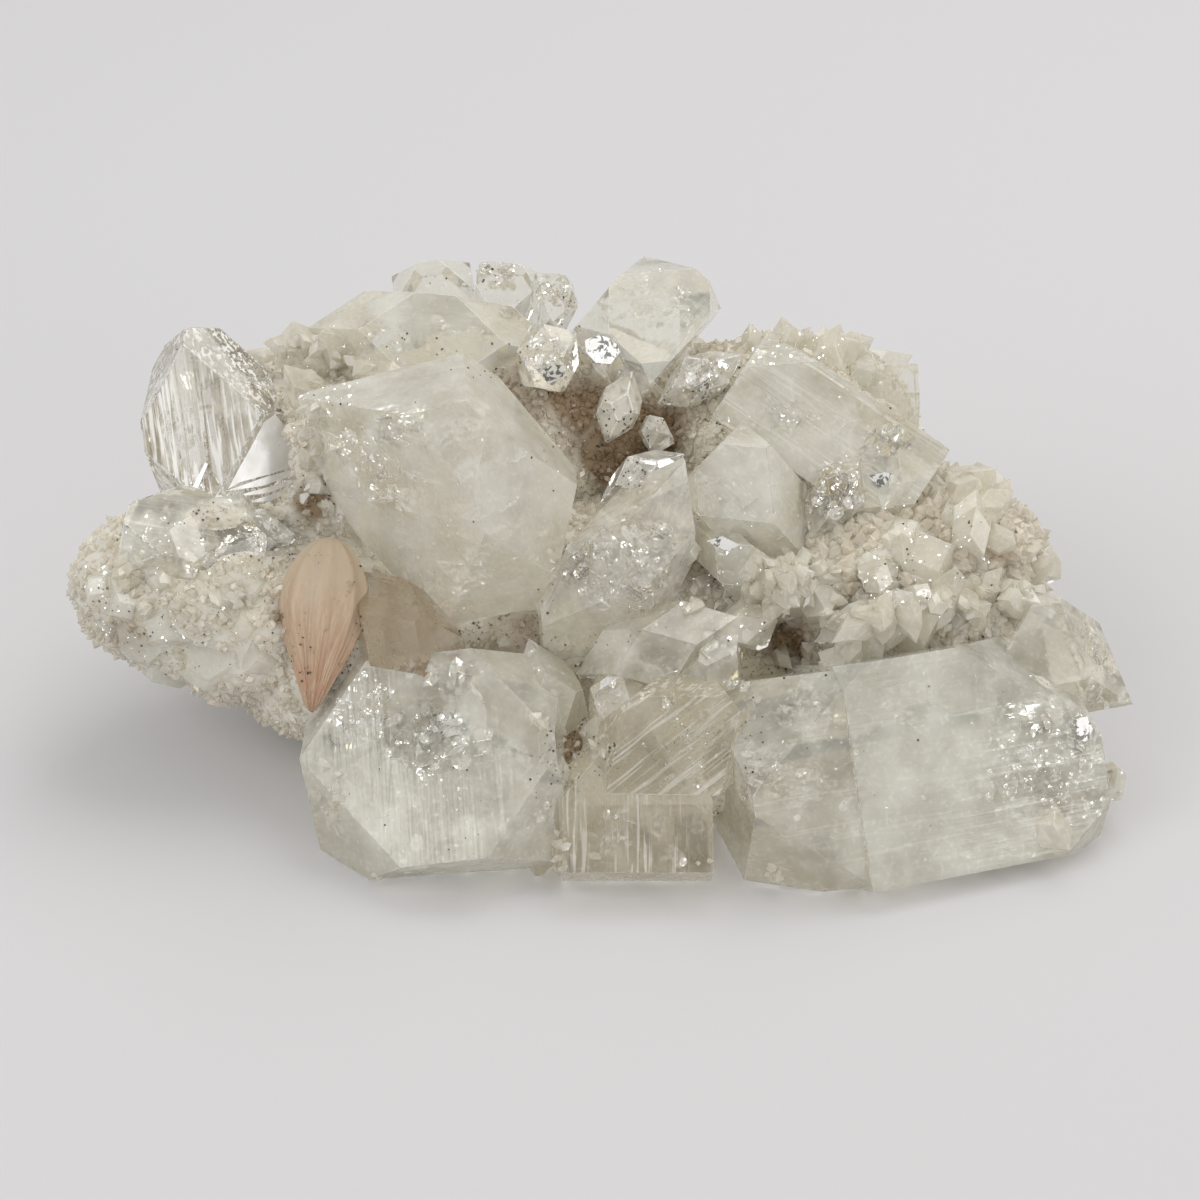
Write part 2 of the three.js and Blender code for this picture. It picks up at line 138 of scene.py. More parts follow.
class Sketch:  # one material and its nodes
    def __init__(self, name):
        self.material = bpy.data.materials.new(name)
        self.material.use_nodes = True
        self.tree = self.material.node_tree
        self.tree.nodes.clear()

    def node(self, kind, settings=None, sockets=None, out=0):  # out: number or name of the socket
        made = self.tree.nodes.new("ShaderNode" + kind)
        for key, setting in (settings or {}).items():
            setattr(made, key, setting)
        pairs = enumerate(sockets) if isinstance(sockets, list) else (sockets or {}).items()
        for key, given in pairs:
            if isinstance(given, Value):
                self.tree.links.new(given.socket, made.inputs[key])
            else:
                made.inputs[key].default_value = given
        return Value(self, made.outputs[out])

    def mixColor(self, factor, first, second):
        first, second = ((*color, 1) if isinstance(color, tuple) else color for color in (first, second))
        return self.node("Mix", {"data_type": "RGBA"}, {0: factor, 6: first, 7: second}, out=2)

    def mixShader(self, factor, first, second):
        return self.node("MixShader", None, [factor, first, second])

    def vector(self, operation, *sockets, out=0):
        return self.node("VectorMath", {"operation": operation}, list(sockets), out=out)

    def principled(self, sockets):
        return self.node("BsdfPrincipled", None, sockets)

    def place(self):
        return self.node("TexCoord", out="Object")

    def entering(self):  # 1 where light goes into a piece, 0 where it comes out of it
        return 1 - self.node("NewGeometry", out="Backfacing")

    def noise(self, place, size, detail=2, rough=0.5, twist=0.0, lift=0.0):  # size in mm
        spot = self.vector("ADD", place, (lift, lift, lift)) if lift else place
        return self.node("TexNoise", None, {
            "Vector": spot, "Scale": 1 / (size * mm), "Detail": detail, "Roughness": rough,
            "Distortion": twist})

    def cells(self, place, size):  # distance to the nearest of many points, size in mm
        return self.node("TexVoronoi", None, {"Vector": place, "Scale": 1 / (size * mm)}, out="Distance")

    def bump(self, height, distance, strength=1.0):  # distance in mm
        return self.node("Bump", None, {"Height": height, "Distance": distance * mm, "Strength": strength})

    def glass(self, rough, ior, color=(1, 0.988, 0.95), normal=None):  # lamps shine in through it
        sockets = {"Base Color": (*color, 1), "Roughness": rough, "IOR": ior, "Transmission Weight": 1.0}
        if normal:
            sockets["Normal"] = normal
        straight = self.node("BsdfTransparent", None, [(*color, 1)])
        return self.mixShader(self.node("LightPath", out="Is Shadow Ray"), self.principled(sockets), straight)

    def surface(self, shader, volume=None):
        output = self.tree.nodes.new("ShaderNodeOutputMaterial")
        self.tree.links.new(shader.socket, output.inputs["Surface"])
        if volume:
            self.tree.links.new(volume.socket, output.inputs["Volume"])
        return self.material


# at: centre in mm. heading, tilt: direction and rise of the c axis. spin: turn about it. half: the prism
# faces' distances. top, foot: where the pyramid faces meet the axis. cap, base: flat ends.

pyramidSlope = math.radians(60.5)
crystals = {
    "left_crystals": {
        "tall": dict(at=(-39.2, 12.4, 27.3), heading=103, tilt=43, spin=68, half=(6.5, 6.5, 9.1, 5.7),
                     top=(16.8, 11.6, 15, 17), foot=(17.2, 13.3, 15, 16.6), cap=11, base=12,
                     look="grey", ribs=(0.5, 0.2), lines=0.9),
        "glassy": dict(at=(-39.4, -0.6, 21.2), heading=-5, tilt=-7, spin=100, half=5, top=12, foot=16,
                       base=8, look="clear", ribs=(1.2, 0.08)),
    },
    "front_crystals": {
        "large": dict(at=(-15.4, 2.5, 29.7), heading=155, tilt=75, spin=-15, half=(8, 8, 12.9, 8.6),
                      top=(30, 20, 13.5, 36), foot=(26.6, 24.6, 24, 21.6), cap=11.3,
                      look="milky", ribs=(2.2, 0.03), lines=0.03),
        "clear": dict(at=(2.5, -5, 23.5), heading=30, tilt=60, spin=114, half=(4.9, 3, 5, 4.3),
                      top=(13, 13, 13, 11.5), foot=(11, 13, 13, 18), look="clear"),
        "scooped": dict(at=(-15.2, -14.5, 4.5), heading=96, tilt=39, spin=77, half=(9, 9, 12.6, 12.6),
                        top=(28, 24, 24, 28.5), foot=(28, 24, 24, 25.5), cap=10.5, base=10.2,
                        scoop=((-18, -25.7, 23.6), 14), look="hazy", ribs=(1.5, 0.02), lines=0.05),
        "blunt": dict(at=(-5, -11.7, 12.6), heading=122, tilt=50, spin=74, half=3, top=6, foot=7,
                      look="milky"),
        "wedge": dict(at=(-5.4, -20.5, 6.5), heading=80, tilt=58, spin=70, half=2.6, top=6.5, foot=8,
                      look="clear"),
        "tawny": dict(at=(-19, -8.5, 17.5), heading=-30, tilt=-35, spin=155, half=4, top=9, foot=9.5,
                      look="tawny"),
        "ribbed": dict(at=(8.6, -14.8, 9.9), heading=24, tilt=30, spin=138, half=(6, 6, 6, 6.5), top=14,
                       foot=(16, 18, 18, 18), cap=5.5, look="grey", ribs=(0.7, 0.13), lines=0.36),
        "block": dict(at=(3.6, -21.9, 1.9), heading=90, tilt=40, spin=90, half=(6, 6, 7.2, 7.2), top=20,
                      foot=30, base=3.6, look="grey", ribs=(0.8, 0.1), lines=0.32),
        "step": dict(at=(-1.6, -20, 4.4), heading=90, tilt=40, spin=90, half=3, top=9.5, foot=12,
                     base=5.5, look="grey", ribs=(0.8, 0.05)),
        "roof": dict(at=(11, -11.5, 16.7), heading=45, tilt=45, spin=156, half=2.8, top=5.5, foot=7,
                     look="hazy"),
        "shelf": dict(at=(5.5, -10.5, 17.8), heading=3, tilt=22, spin=166, half=3.4, top=8.5, foot=8.5,
                      look="hazy"),
        "chip": dict(at=(1.7, -13.3, 13.6), heading=58, tilt=50, spin=96, half=2.2, top=5.5, foot=5.5,
                     look="clear"),
        "core": dict(at=(29.8, -11.6, 5.7), heading=17, tilt=-1, spin=146, half=(10.6, 11, 11.4, 9.6),
                     top=(39, 30, 30, 29), foot=(35.5, 30, 30, 31.5), cap=16.5, base=19,
                     look="hazy", ribs=(0.8, 0.04), lines=0.12),
        "sheath": dict(at=(29.8, -11.6, 5.7), heading=17, tilt=-1, spin=146, half=(11, 11, 11.8, 10),
                       top=(40, 30, 30, 29.7), foot=(37.4, 30, 30, 32), cap=17, base=8.6,
                       look="milky", ribs=(1.0, 0.03), lines=0.08),
        "tail": dict(at=(44.6, -6.8, 13.7), heading=-18, tilt=-23, spin=141, half=(4.5, 4.5, 5, 5.5),
                     top=9.8, foot=14, base=4.4, look="hazy", ribs=(0.7, 0.09)),
    },
    "rear_right_crystals": {
        "chisel": dict(at=(22.5, 8.5, 30), heading=-21, tilt=-27, spin=140, half=(5.5, 5.5, 4.9, 5.5),
                       top=(19, 18, 18, 24), foot=(22.5, 18, 18, 18.5), cap=11, base=10.5,
                       look="milky", ribs=(0.8, 0.12), lines=0.25),
        "milky": dict(at=(14.4, 1.6, 27.1), heading=-30, tilt=-35, spin=135, half=(5, 5, 4.7, 5.2),
                      top=10, foot=14, base=5.5, look="milky", ribs=(1.0, 0.08)),
        "upright": dict(at=(29, 14, 31), heading=93, tilt=55, spin=87, half=(3, 3, 3.4, 3.4), top=10.6,
                        foot=9, cap=3.5, look="hazy"),
        "sparkly": dict(at=(23.5, 1.4, 28), heading=52, tilt=37, spin=131, half=2.4, top=5.6, foot=5.6,
                        look="clear"),
        "flank": dict(at=(14, -4.3, 22.4), heading=-30, tilt=-35, spin=135, half=2.4, top=5.4, foot=7,
                      look="hazy"),
    },
    "crest_crystals": {
        "crest": dict(at=(4, 17, 36.6), heading=50, tilt=19, spin=125, half=(5.2, 5.2, 4.2, 5.4),
                      top=(16, 14, 14, 14.5), foot=14, cap=7.5, base=4.8, look="milky"),
        "mirror": dict(at=(0.7, 12.3, 37.5), heading=107, tilt=54, spin=56, half=1.5, top=3.5, foot=3.5,
                       look="clear"),
    },
    "rear_left_crystals": {
        "slab": dict(at=(-16.8, 15.8, 37), heading=-3, tilt=-5, spin=145, half=(4.5, 4.5, 4.3, 4.3),
                     top=13, foot=13, look="milky", ribs=(1.2, 0.04)),
        "tower": dict(at=(-17, 22.5, 38.5), heading=104, tilt=44, spin=79, half=4.1, top=9, foot=12,
                      cap=2.6, look="hazy"),
        "cube": dict(at=(-9.8, 21.7, 39.8), heading=78, tilt=44, spin=100, half=2.9, top=7.5, foot=8,
                     cap=1.9, look="hazy"),
        "dark": dict(at=(-5.2, 20.2, 39.2), heading=78, tilt=44, spin=130, half=2.2, top=5.5, foot=6,
                     cap=2.4, look="clear"),
        "gem": dict(at=(-5.2, 11.4, 37.6), heading=73, tilt=54, spin=84, half=2.5, top=6, foot=6,
                    cap=3, base=3.3, look="clear"),
    },
    "back_crystals": {
        "broad": dict(at=(-12, 20, 17), heading=-108, tilt=-22, spin=40, half=(6.5, 6.5, 7.5, 7.5),
                      top=17, foot=17, cap=9, base=8, look="hazy", ribs=(1.1, 0.05)),
        "point": dict(at=(-24, 21, 22), heading=135, tilt=18, spin=30, half=3.6, top=9.5, foot=10,
                      look="hazy"),
    },
    "back_right_crystals": {
        "broad": dict(at=(24, 15, 14.5), heading=74, tilt=20, spin=52, half=(5.2, 5.2, 6, 6), top=14.5,
                      foot=16, cap=7.5, base=8.5, look="milky", ribs=(1, 0.05)),
        "point": dict(at=(35, 11, 12.5), heading=28, tilt=10, spin=20, half=3.4, top=9.5, foot=9.5,
                      look="hazy"),
    },
    "nook_crystal": {
        "nook": dict(at=(4.2, 3.3, 28.4), heading=9, tilt=30, spin=125, half=2, top=5, foot=5,
                     look="clear"),
    },
    "rider_crystal": {
        "rider": dict(at=(27.3, -9.1, 19.9), heading=3, tilt=22, spin=166, half=2.4, top=6, foot=7,
                      look="hazy"),
    },
    "bright_crystal": {
        "bright": dict(at=(10, 10.5, 35.6), heading=9, tilt=30, spin=125, half=2, top=5, foot=5,
                       look="clear"),
    },
    "bead_crystal": {
        "bead": dict(at=(1.9, 8.3, 33.6), heading=58, tilt=50, spin=126, half=2, top=4, foot=4,
                     look="milky"),
    },
    "low_back_crystal": {
        "low": dict(at=(1, 22.5, 11), heading=62, tilt=12, spin=55, half=4.2, top=9.5, foot=12, cap=6,
                    look="hazy"),
    },
}


def axesOf(crystal):  # the crystal's own x, y and c directions
    heading, tilt, spin = (math.radians(crystal[key]) for key in ("heading", "tilt", "spin"))
    c = Vector((math.cos(tilt) * math.cos(heading), math.cos(tilt) * math.sin(heading), math.sin(tilt)))
    level = Vector((-math.sin(heading), math.cos(heading), 0))
    x = level * math.cos(spin) + c.cross(level) * math.sin(spin)
    return x, c.cross(x), c


def fourOf(given):
    return given if isinstance(given, tuple) else (given,) * 4


def facesOf(crystal):  # outward normals, distances from the origin in mm, and the kind of each face
    x, y, c = axesOf(crystal)
    out = math.sin(pyramidSlope) / math.sqrt(2)
    rise = math.cos(pyramidSlope)
    faces = [(side, far, "prism") for side, far in zip((x, -x, y, -y), fourOf(crystal["half"]))]
    signs = ((1, 1), (-1, 1), (-1, -1), (1, -1))
    for (i, j), top, foot in zip(signs, fourOf(crystal["top"]), fourOf(crystal["foot"])):
        faces.append((x * i * out + y * j * out + c * rise, top * rise, "pyramid"))
        faces.append((x * i * out + y * j * out - c * rise, foot * rise, "pyramid"))
    if "cap" in crystal:
        faces.append((c, crystal["cap"], "cap"))
    if "base" in crystal:
        faces.append((-c, crystal["base"], "cap"))
    centre = Vector(crystal["at"]) + toOrigin
    return [(normal, far + normal.dot(centre), kind) for normal, far, kind in faces]


def prepare(crystal):  # what the steps below ask of each crystal
    crystal["axes"] = axesOf(crystal)
    crystal["faces"] = facesOf(crystal)
    crystal["normals"] = np.array([normal for normal, far, kind in crystal["faces"]])
    crystal["fars"] = np.array([far for normal, far, kind in crystal["faces"]])


def depthIn(crystal, points):  # below 0 inside a crystal, in mm
    return (points @ crystal["normals"].T - crystal["fars"]).max(axis=1)


def depthInAny(points):  # below 0 inside one of the large crystals, in mm
    return np.min([depthIn(crystal, points) for crystal in everyCrystal], axis=0)


def nearestOf(choice, spot):  # the crystal whose surface is nearest to a point
    point = np.array([spot])
    return min(choice, key=lambda crystal: abs(depthIn(crystal, point)[0]))


everyCrystal = [crystal for group in crystals.values() for crystal in group.values()]
for crystal in everyCrystal:
    prepare(crystal)


# Where crystals are clouded or clear inside, by a point of the camera's frame: across, down, radius and
# how much milk is added there.
milkZones = [
    (930, 745, 85, 0.22), (800, 705, 45, -0.05), (790, 745, 60, -0.08), (860, 830, 50, 0.1),
    (1045, 765, 70, -0.18), (1083, 730, 25, -0.12), (1105, 800, 40, -0.12), (990, 850, 60, 0.1),
    (760, 800, 40, -0.09),
    (1100, 650, 40, -0.24), (1040, 640, 40, 0.1),
    (520, 480, 60, 0.12), (380, 470, 45, -0.18), (400, 425, 30, -0.18), (430, 560, 45, 0.1),
    (470, 600, 50, -0.21), (560, 560, 40, -0.12), (340, 430, 30, -0.12),
    (625, 555, 60, -0.18), (575, 560, 30, -0.18), (620, 625, 40, 0.35), (665, 540, 25, -0.12),
    (345, 700, 45, -0.18), (430, 745, 55, -0.27), (440, 680, 40, -0.12), (440, 830, 70, 0.15),
    (390, 800, 40, 0.1), (510, 700, 40, -0.09), (330, 750, 25, -0.12),
    (690, 740, 50, -0.12), (740, 700, 30, -0.18), (640, 770, 40, -0.06), (640, 840, 60, 0.08),
    (728, 650, 35, -0.18), (180, 420, 50, -0.06), (262, 372, 40, -0.18), (258, 455, 32, 0.5),
    (215, 545, 80, -0.18), (270, 540, 40, -0.12), (130, 560, 40, 0.2),
    (835, 487, 40, -0.24), (760, 480, 50, 0.3), (700, 480, 35, -0.18), (780, 430, 40, 0.1),
    (885, 440, 35, -0.24), (740, 390, 30, -0.12), (850, 400, 45, -0.06), (700, 370, 30, -0.18),
    (545, 358, 32, -0.21), (601, 351, 18, -0.3), (695, 372, 28, -0.24), (640, 478, 30, -0.18),
    (650, 290, 50, 0.15), (420, 335, 45, 0.1), (490, 275, 35, -0.12), (560, 295, 35, -0.18),
    (885, 370, 35, -0.12), (610, 695, 30, -0.18), (550, 700, 25, 0.2),
    (389, 304, 24, 0.5), (504, 350, 20, 0.5),
]
crystalLooks = {  # milk: least share of the milky shader. cloud: what the clouds add to it. lines: lamellae
    "milky": dict(milk=0.37, cloud=0.34, lines=0.1, cream=(0.65, 0.63, 0.53), white=(0.77, 0.75, 0.67)),
    "hazy": dict(milk=0.32, cloud=0.32, lines=0.12, cream=(0.65, 0.62, 0.51), white=(0.78, 0.76, 0.67)),
    "grey": dict(milk=0.28, cloud=0.22, lines=0.22, cream=(0.46, 0.41, 0.31), white=(0.60, 0.55, 0.44)),
    "clear": dict(milk=0.24, cloud=0.34, lines=0.12, cream=(0.73, 0.70, 0.60), white=(0.82, 0.80, 0.72)),
    "drusy": dict(milk=0.50, cloud=0.3, lines=0.1, cream=(0.70, 0.64, 0.51), white=(0.76, 0.73, 0.63)),
    "tawny": dict(milk=0.38, cloud=0.3, lines=0.2, cream=(0.27, 0.18, 0.09), white=(0.36, 0.26, 0.15)),
}
crystalGlass = {
    "rough": 0.03, "milkRough": 0.14, "ior": 1.535,
    "absorb": (0.90, 0.88, 0.80), "density": 10,  # 1/m
    "glow": 0.005,   # m, how far light spreads in the milk
    "spread": (1.0, 0.96, 0.88),
    "scatter": 0.25,
    "lamella": 0.4,  # mm between the fine lines along the c axis
    "streak": 0.06,  # how much shorter the pattern is along that axis
    "thread": (0.96, 0.95, 0.91),  # colour of the strongest lines
    "share": (0.04, 0.96),         # least and most of the milky shader
}


def crystalMaterial(name, look, crystal=None):
    sketch = Sketch(name)
    place = sketch.place()
    billow = sketch.noise(place, 6, detail=2, rough=0.55)
    wisp = sketch.noise(place, 2.5, detail=2, rough=0.6, lift=0.31)
    cloud = (billow * 0.65 + wisp * 0.35).between(0.34, 0.64)
    flecks = sketch.noise(place, 0.45, detail=0, lift=0.17)
    milk = look["milk"] + cloud * look["cloud"] + flecks.between(0.6, 0.75) * 0.08
    grain = sketch.noise(place, 1.2, detail=0, rough=0.55)
    height = grain * 0.35
    if crystal:
        x, y, c = crystal["axes"]
        pitch = crystalGlass["lamella"] * mm
        local = sketch.node("CombineXYZ", None, [
            sketch.vector("DOT_PRODUCT", place, tuple(way), out=1) * (stretch / pitch)
            for way, stretch in ((x, 1), (y, 1), (c, crystalGlass["streak"]))])
        fine = sketch.node("TexNoise", None, {"Vector": local, "Scale": 1.0, "Detail": 1, "Roughness": 0.65})
        broad = sketch.node("TexNoise", None, {"Vector": local, "Scale": 0.22, "Detail": 0, "Roughness": 0.5})
        lines = crystal.get("lines", look["lines"])
        threads = fine.between(0.5, 0.62) * broad.between(0.5 - lines * 0.3, 0.66 - lines * 0.3)
        milk = milk + threads * lines
        height = height + fine * (0.7 + lines * 1.6) + broad * 1.2
        for spot, radius, amount in crystal["zones"]:
            away = sketch.vector("DISTANCE", place, tuple(spot * mm), out=1) + wisp * (radius * 0.6 * mm)
            milk = milk + away.between(radius * 1.45 * mm, radius * 0.75 * mm) * amount
    color = sketch.mixColor(cloud * 0.8 + flecks.between(0.5, 0.7) * 0.15, look["cream"], look["white"])
    if crystal and lines > 0.3:
        color = sketch.mixColor(threads * min(lines, 0.85), color, crystalGlass["thread"])
    relief = sketch.bump(height, 0.035, 0.55)
    milky = sketch.principled({
        "Base Color": color, "Roughness": crystalGlass["milkRough"], "IOR": crystalGlass["ior"],
        "Normal": relief, "Subsurface Weight": crystalGlass["scatter"],
        "Subsurface Radius": crystalGlass["spread"], "Subsurface Scale": crystalGlass["glow"]})
    clear = sketch.glass(crystalGlass["rough"], crystalGlass["ior"], normal=relief)
    least, most = crystalGlass["share"]
    share = sketch.node("Clamp", None, {0: milk, 1: least, 2: most}) * sketch.entering()
    mixed = sketch.mixShader(share, clear, milky)
    if look is crystalLooks["drusy"]:  # these are too small to need a tint
        return sketch.surface(mixed)
    haze = sketch.node("VolumeAbsorption", None, {
        "Color": (*crystalGlass["absorb"], 1), "Density": crystalGlass["density"]})
    return sketch.surface(mixed, haze)


for crystal in everyCrystal:
    crystal["zones"] = []
for across, down, radius, amount in milkZones:
    spot, normal = spotAt(solidTree, across, down)
    if spot:
        nearestOf(everyCrystal, spot)["zones"].append((spot, radius / frameScale, amount))
sharedMaterials = {look: crystalMaterial(look + "Crystal", crystalLooks[look]) for look in crystalLooks}
for group in crystals.values():
    for title, crystal in group.items():
        crystal["material"] = sharedMaterials[crystal["look"]]
        if "ribs" in crystal or crystal["zones"]:
            crystal["material"] = crystalMaterial(title + "Crystal", crystalLooks[crystal["look"]], crystal)
print("stage: crystal materials")


def edgeMaterial():
    sketch = Sketch("chippedEdgesAndPaintedShine")
    place = sketch.place()
    chipsAndShine = sketch.noise(place, 0.8, detail=3, rough=0.7)
    # The white is chipped frost on the edges and partly a painted highlight along them.
    white = sketch.principled({
        "Base Color": (0.93, 0.92, 0.88, 1), "Roughness": 0.2, "IOR": crystalGlass["ior"],
        "Normal": sketch.bump(chipsAndShine, 0.05, 0.8)})
    glass = sketch.glass(crystalGlass["rough"], crystalGlass["ior"])
    share = chipsAndShine.between(0.42, 0.56) * 0.75 * sketch.entering()
    return sketch.surface(sketch.mixShader(share, glass, white))


chippedEdgesAndPaintedShine = edgeMaterial()


def copyOfNode(name, title):
    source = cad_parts[name]
    piece = bpy.data.objects.new(title, source.data.copy())
    bpy.context.scene.collection.objects.link(piece)
    piece.data.materials.clear()
    return piece


def titleOf(name):  # front_crystals becomes frontCrystals
    first, *rest = name.split("_")
    return first + "".join(word.capitalize() for word in rest)


crystalFinish = {
    "weld": 0.02,        # mm, corners closer than this are one
    "flat": 0.4,         # degrees, faces closer than this are one
    "edge": 0.11,        # mm, width of the worn edges, whose chipped white is partly a painted edge highlight
    "sharpFrom": 14,     # degrees between faces that count as an edge
    "sameWay": 0.9995,   # cosine between a face and the crystal face that it lies in
    "samePlane": 0.05,   # mm between the two
    "edgeWay": 0.985,    # cosine below which a face is taken for a worn edge
    "leastRibbed": 1.5,  # mm, side of the smallest face that gets lamellae
    "seed": 5,
}


lamellae = {  # least and most of each, as shares
    "first": (0.3, 1),      # distance of the first from the face's end, of the spacing
    "step": (0.25, 1.6),    # from one to the next, of the spacing
    "lift": (-1, 0.15),     # how far an edge moves, of the depth
    "even": (0.7, 1),       # how that varies along an edge
    "end": 0.25,            # none is nearer to the other end, of the spacing
    "hair": 1e-7,           # m
}


def ribFace(bm, face, crystal, chance):  # lamellae along the c axis, as shallow strips of one face
    spacing, depth = crystal["ribs"]
    c = crystal["axes"][2]
    normal = face.normal.copy()
    across = normal.cross(c).normalized()
    reach = [across.dot(vert.co) for vert in face.verts]
    strips = [face]
    place = min(reach) + spacing * mm * chance.uniform(*lamellae["first"])
    while place < max(reach) - spacing * mm * lamellae["end"]:
        geometry = set(strips)
        for each in strips:
            geometry.update(each.edges)
            geometry.update(each.verts)
        cut = bmesh.ops.bisect_plane(bm, geom=list(geometry), dist=lamellae["hair"],
                                     plane_co=across * place, plane_no=across)
        strips = [part for part in cut["geom"] if isinstance(part, bmesh.types.BMFace)]
        lift = depth * mm * chance.uniform(*lamellae["lift"])
        for part in cut["geom_cut"]:
            if isinstance(part, bmesh.types.BMVert):
                part.co += normal * lift * chance.uniform(*lamellae["even"])
        strips = [part for part in strips
                  if max(across.dot(vert.co) for vert in part.verts) > place + lamellae["hair"]]
        place += spacing * mm * chance.uniform(*lamellae["step"])


def inScoop(crystal, spot):  # whether a point of the surface lies in the shell-shaped break
    if "scoop" not in crystal:
        return False
    middle, radius = crystal["scoop"]
    return abs((spot - Vector(middle) - toOrigin).length - radius) < 0.3


def crystalPiece(name, group):
    piece = copyOfNode(name, titleOf(name))
    chance = random.Random(crystalFinish["seed"])
    bm = bmesh.new()
    bm.from_mesh(piece.data)
    bmesh.ops.remove_doubles(bm, verts=bm.verts, dist=crystalFinish["weld"] * mm)
    bmesh.ops.dissolve_limit(bm, angle_limit=math.radians(crystalFinish["flat"]), verts=bm.verts,
                             edges=bm.edges)
    sharp = math.radians(crystalFinish["sharpFrom"])
    edges = [edge for edge in bm.edges if len(edge.link_faces) == 2 and edge.calc_face_angle(0) > sharp]
    bmesh.ops.bevel(bm, geom=edges, offset=crystalFinish["edge"] * mm, segments=2, profile=0.6,
                    affect="EDGES", clamp_overlap=True)
    crystalList = list(group.values())
    finishes = []
    for crystal in crystalList:
        if crystal["material"] not in finishes:
            finishes.append(crystal["material"])
            piece.data.materials.append(crystal["material"])
    piece.data.materials.append(chippedEdgesAndPaintedShine)
    bm.normal_update()
    ribbed = []
    for face in bm.faces:
        centre = face.calc_center_median() / mm
        own = nearestOf(crystalList, centre)
        face.material_index = finishes.index(own["material"])
        kinds = [kind for normal, far, kind in own["faces"]
                 if normal.dot(face.normal) > crystalFinish["sameWay"]
                 and abs(normal.dot(centre) - far) < crystalFinish["samePlane"]]
        face.smooth = not kinds
        aside = max(normal.dot(face.normal) for normal, far, kind in own["faces"])
        # worn edges take the chipped white finish, partly a painted edge highlight
        if aside < crystalFinish["edgeWay"] and not inScoop(own, centre) and own["look"] != "tawny":
            face.material_index = len(finishes)
        if "ribs" in own and "prism" in kinds and face.calc_area() > (crystalFinish["leastRibbed"] * mm) ** 2:
            ribbed.append((face, own))
    for face, own in ribbed:
        ribFace(bm, face, own, chance)
    bmesh.ops.triangulate(bm, faces=[face for face in bm.faces if len(face.verts) > 4])
    bm.to_mesh(piece.data)
    bm.free()
    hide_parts(name)
    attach(piece, "root")
    return piece


crystalPieces = {name: crystalPiece(name, group) for name, group in crystals.items()}
print("stage: crystals", sum(len(piece.data.polygons) for piece in crystalPieces.values()))


rock = {
    "voxel": 0.5,         # mm
    "roughness": 1.1,     # mm, how far the surface wanders
    "spacing": 5.5,       # mm between its bumps
    "sugar": 0.13,        # mm, height of the finer relief
    "sugarSpacing": (1.3, 0.6),  # mm
    "calm": 0.3,          # mm above the broken flat, where the relief begins
    "bite": 0.35,         # mm, how far it holds into a crystal
    "reach": 45,          # mm, half the side of a cube that any crystal fits in
}
lumps = [  # middle and radii, mm
    ((0, 4, 10), (37, 12.5, 15.5)),
    ((-41, 0, 17.5), (12.6, 10.5, 8.5)),
    ((-34, -1.5, 15), (11, 10, 8.5)),
    ((-28, -1, 12), (10.5, 11, 10.5)),
    ((-26, 13, 24.5), (14, 11.5, 10.5)),
    ((-8, 15, 27), (19, 11, 9)),
    ((18, 14, 26.5), (15, 10.5, 9.5)),
    ((29.3, 4, 15.8), (16, 13, 11)),
    ((4, -11, 5.5), (21, 9, 6)),
    ((38, -6, 8), (11, 12, 8.5)),
]


def latticeNoise(points):  # smooth noise between -1 and 1
    cell = np.floor(points)
    part = points - cell
    part = part * part * (3 - 2 * part)
    total = np.zeros(len(points))
    for corner in range(8):
        step = np.array([corner & 1, (corner >> 1) & 1, corner >> 2])
        weight = np.prod(np.where(step, part, 1 - part), axis=1)
        spot = cell + step
        wave = np.sin(spot @ np.array([127.1, 311.7, 74.7])) * 43758.5453
        total += weight * (wave - np.floor(wave))
    return 2 * total - 1


def verticesOf(mesh):
    spots = np.empty(len(mesh.vertices) * 3, dtype=np.float32)
    mesh.vertices.foreach_get("co", spots)
    return spots.reshape(-1, 3).astype(float)


def applyModifier(piece, kind, **settings):
    bpy.context.view_layer.objects.active = piece
    modifier = piece.modifiers.new(kind.lower(), kind)
    for key, setting in settings.items():
        setattr(modifier, key, setting)
    bpy.ops.object.modifier_apply(modifier=modifier.name)


def cutBlock(name, middle, reach, faces):  # a cube at its place, cut down by one plane for each crystal face
    bpy.ops.object.select_all(action="DESELECT")
    bpy.ops.mesh.primitive_cube_add(size=2 * reach * mm, location=Vector(middle) * mm)
    block = bpy.context.object
    block.name = block.data.name = name
    bpy.ops.object.transform_apply(location=True, rotation=True, scale=True)
    bpy.ops.object.mode_set(mode="EDIT")
    for normal, far, kind in faces:
        bpy.ops.mesh.select_all(action="SELECT")
        bpy.ops.mesh.bisect(plane_co=normal * far * mm, plane_no=normal, use_fill=True, clear_outer=True)
    bpy.ops.object.mode_set(mode="OBJECT")
    return block


def joinPieces(pieces, name):
    bpy.ops.object.select_all(action="DESELECT")
    for piece in pieces:
        piece.select_set(True)
    bpy.context.view_layer.objects.active = pieces[0]
    bpy.ops.object.join()
    joined = bpy.context.object
    joined.name = joined.data.name = name
    bpy.ops.object.select_all(action="DESELECT")
    return joined


clearedFace = {  # the matrix stops short of this face of the tall crystal
    "crystal": "tall", "spot": (250, 440),
    "room": 4.5, "aside": 0.3,                           # mm, before that face and at the others
    "rim": ((222, 506), (300, 506)),                     # it stays below this line of the frame
}


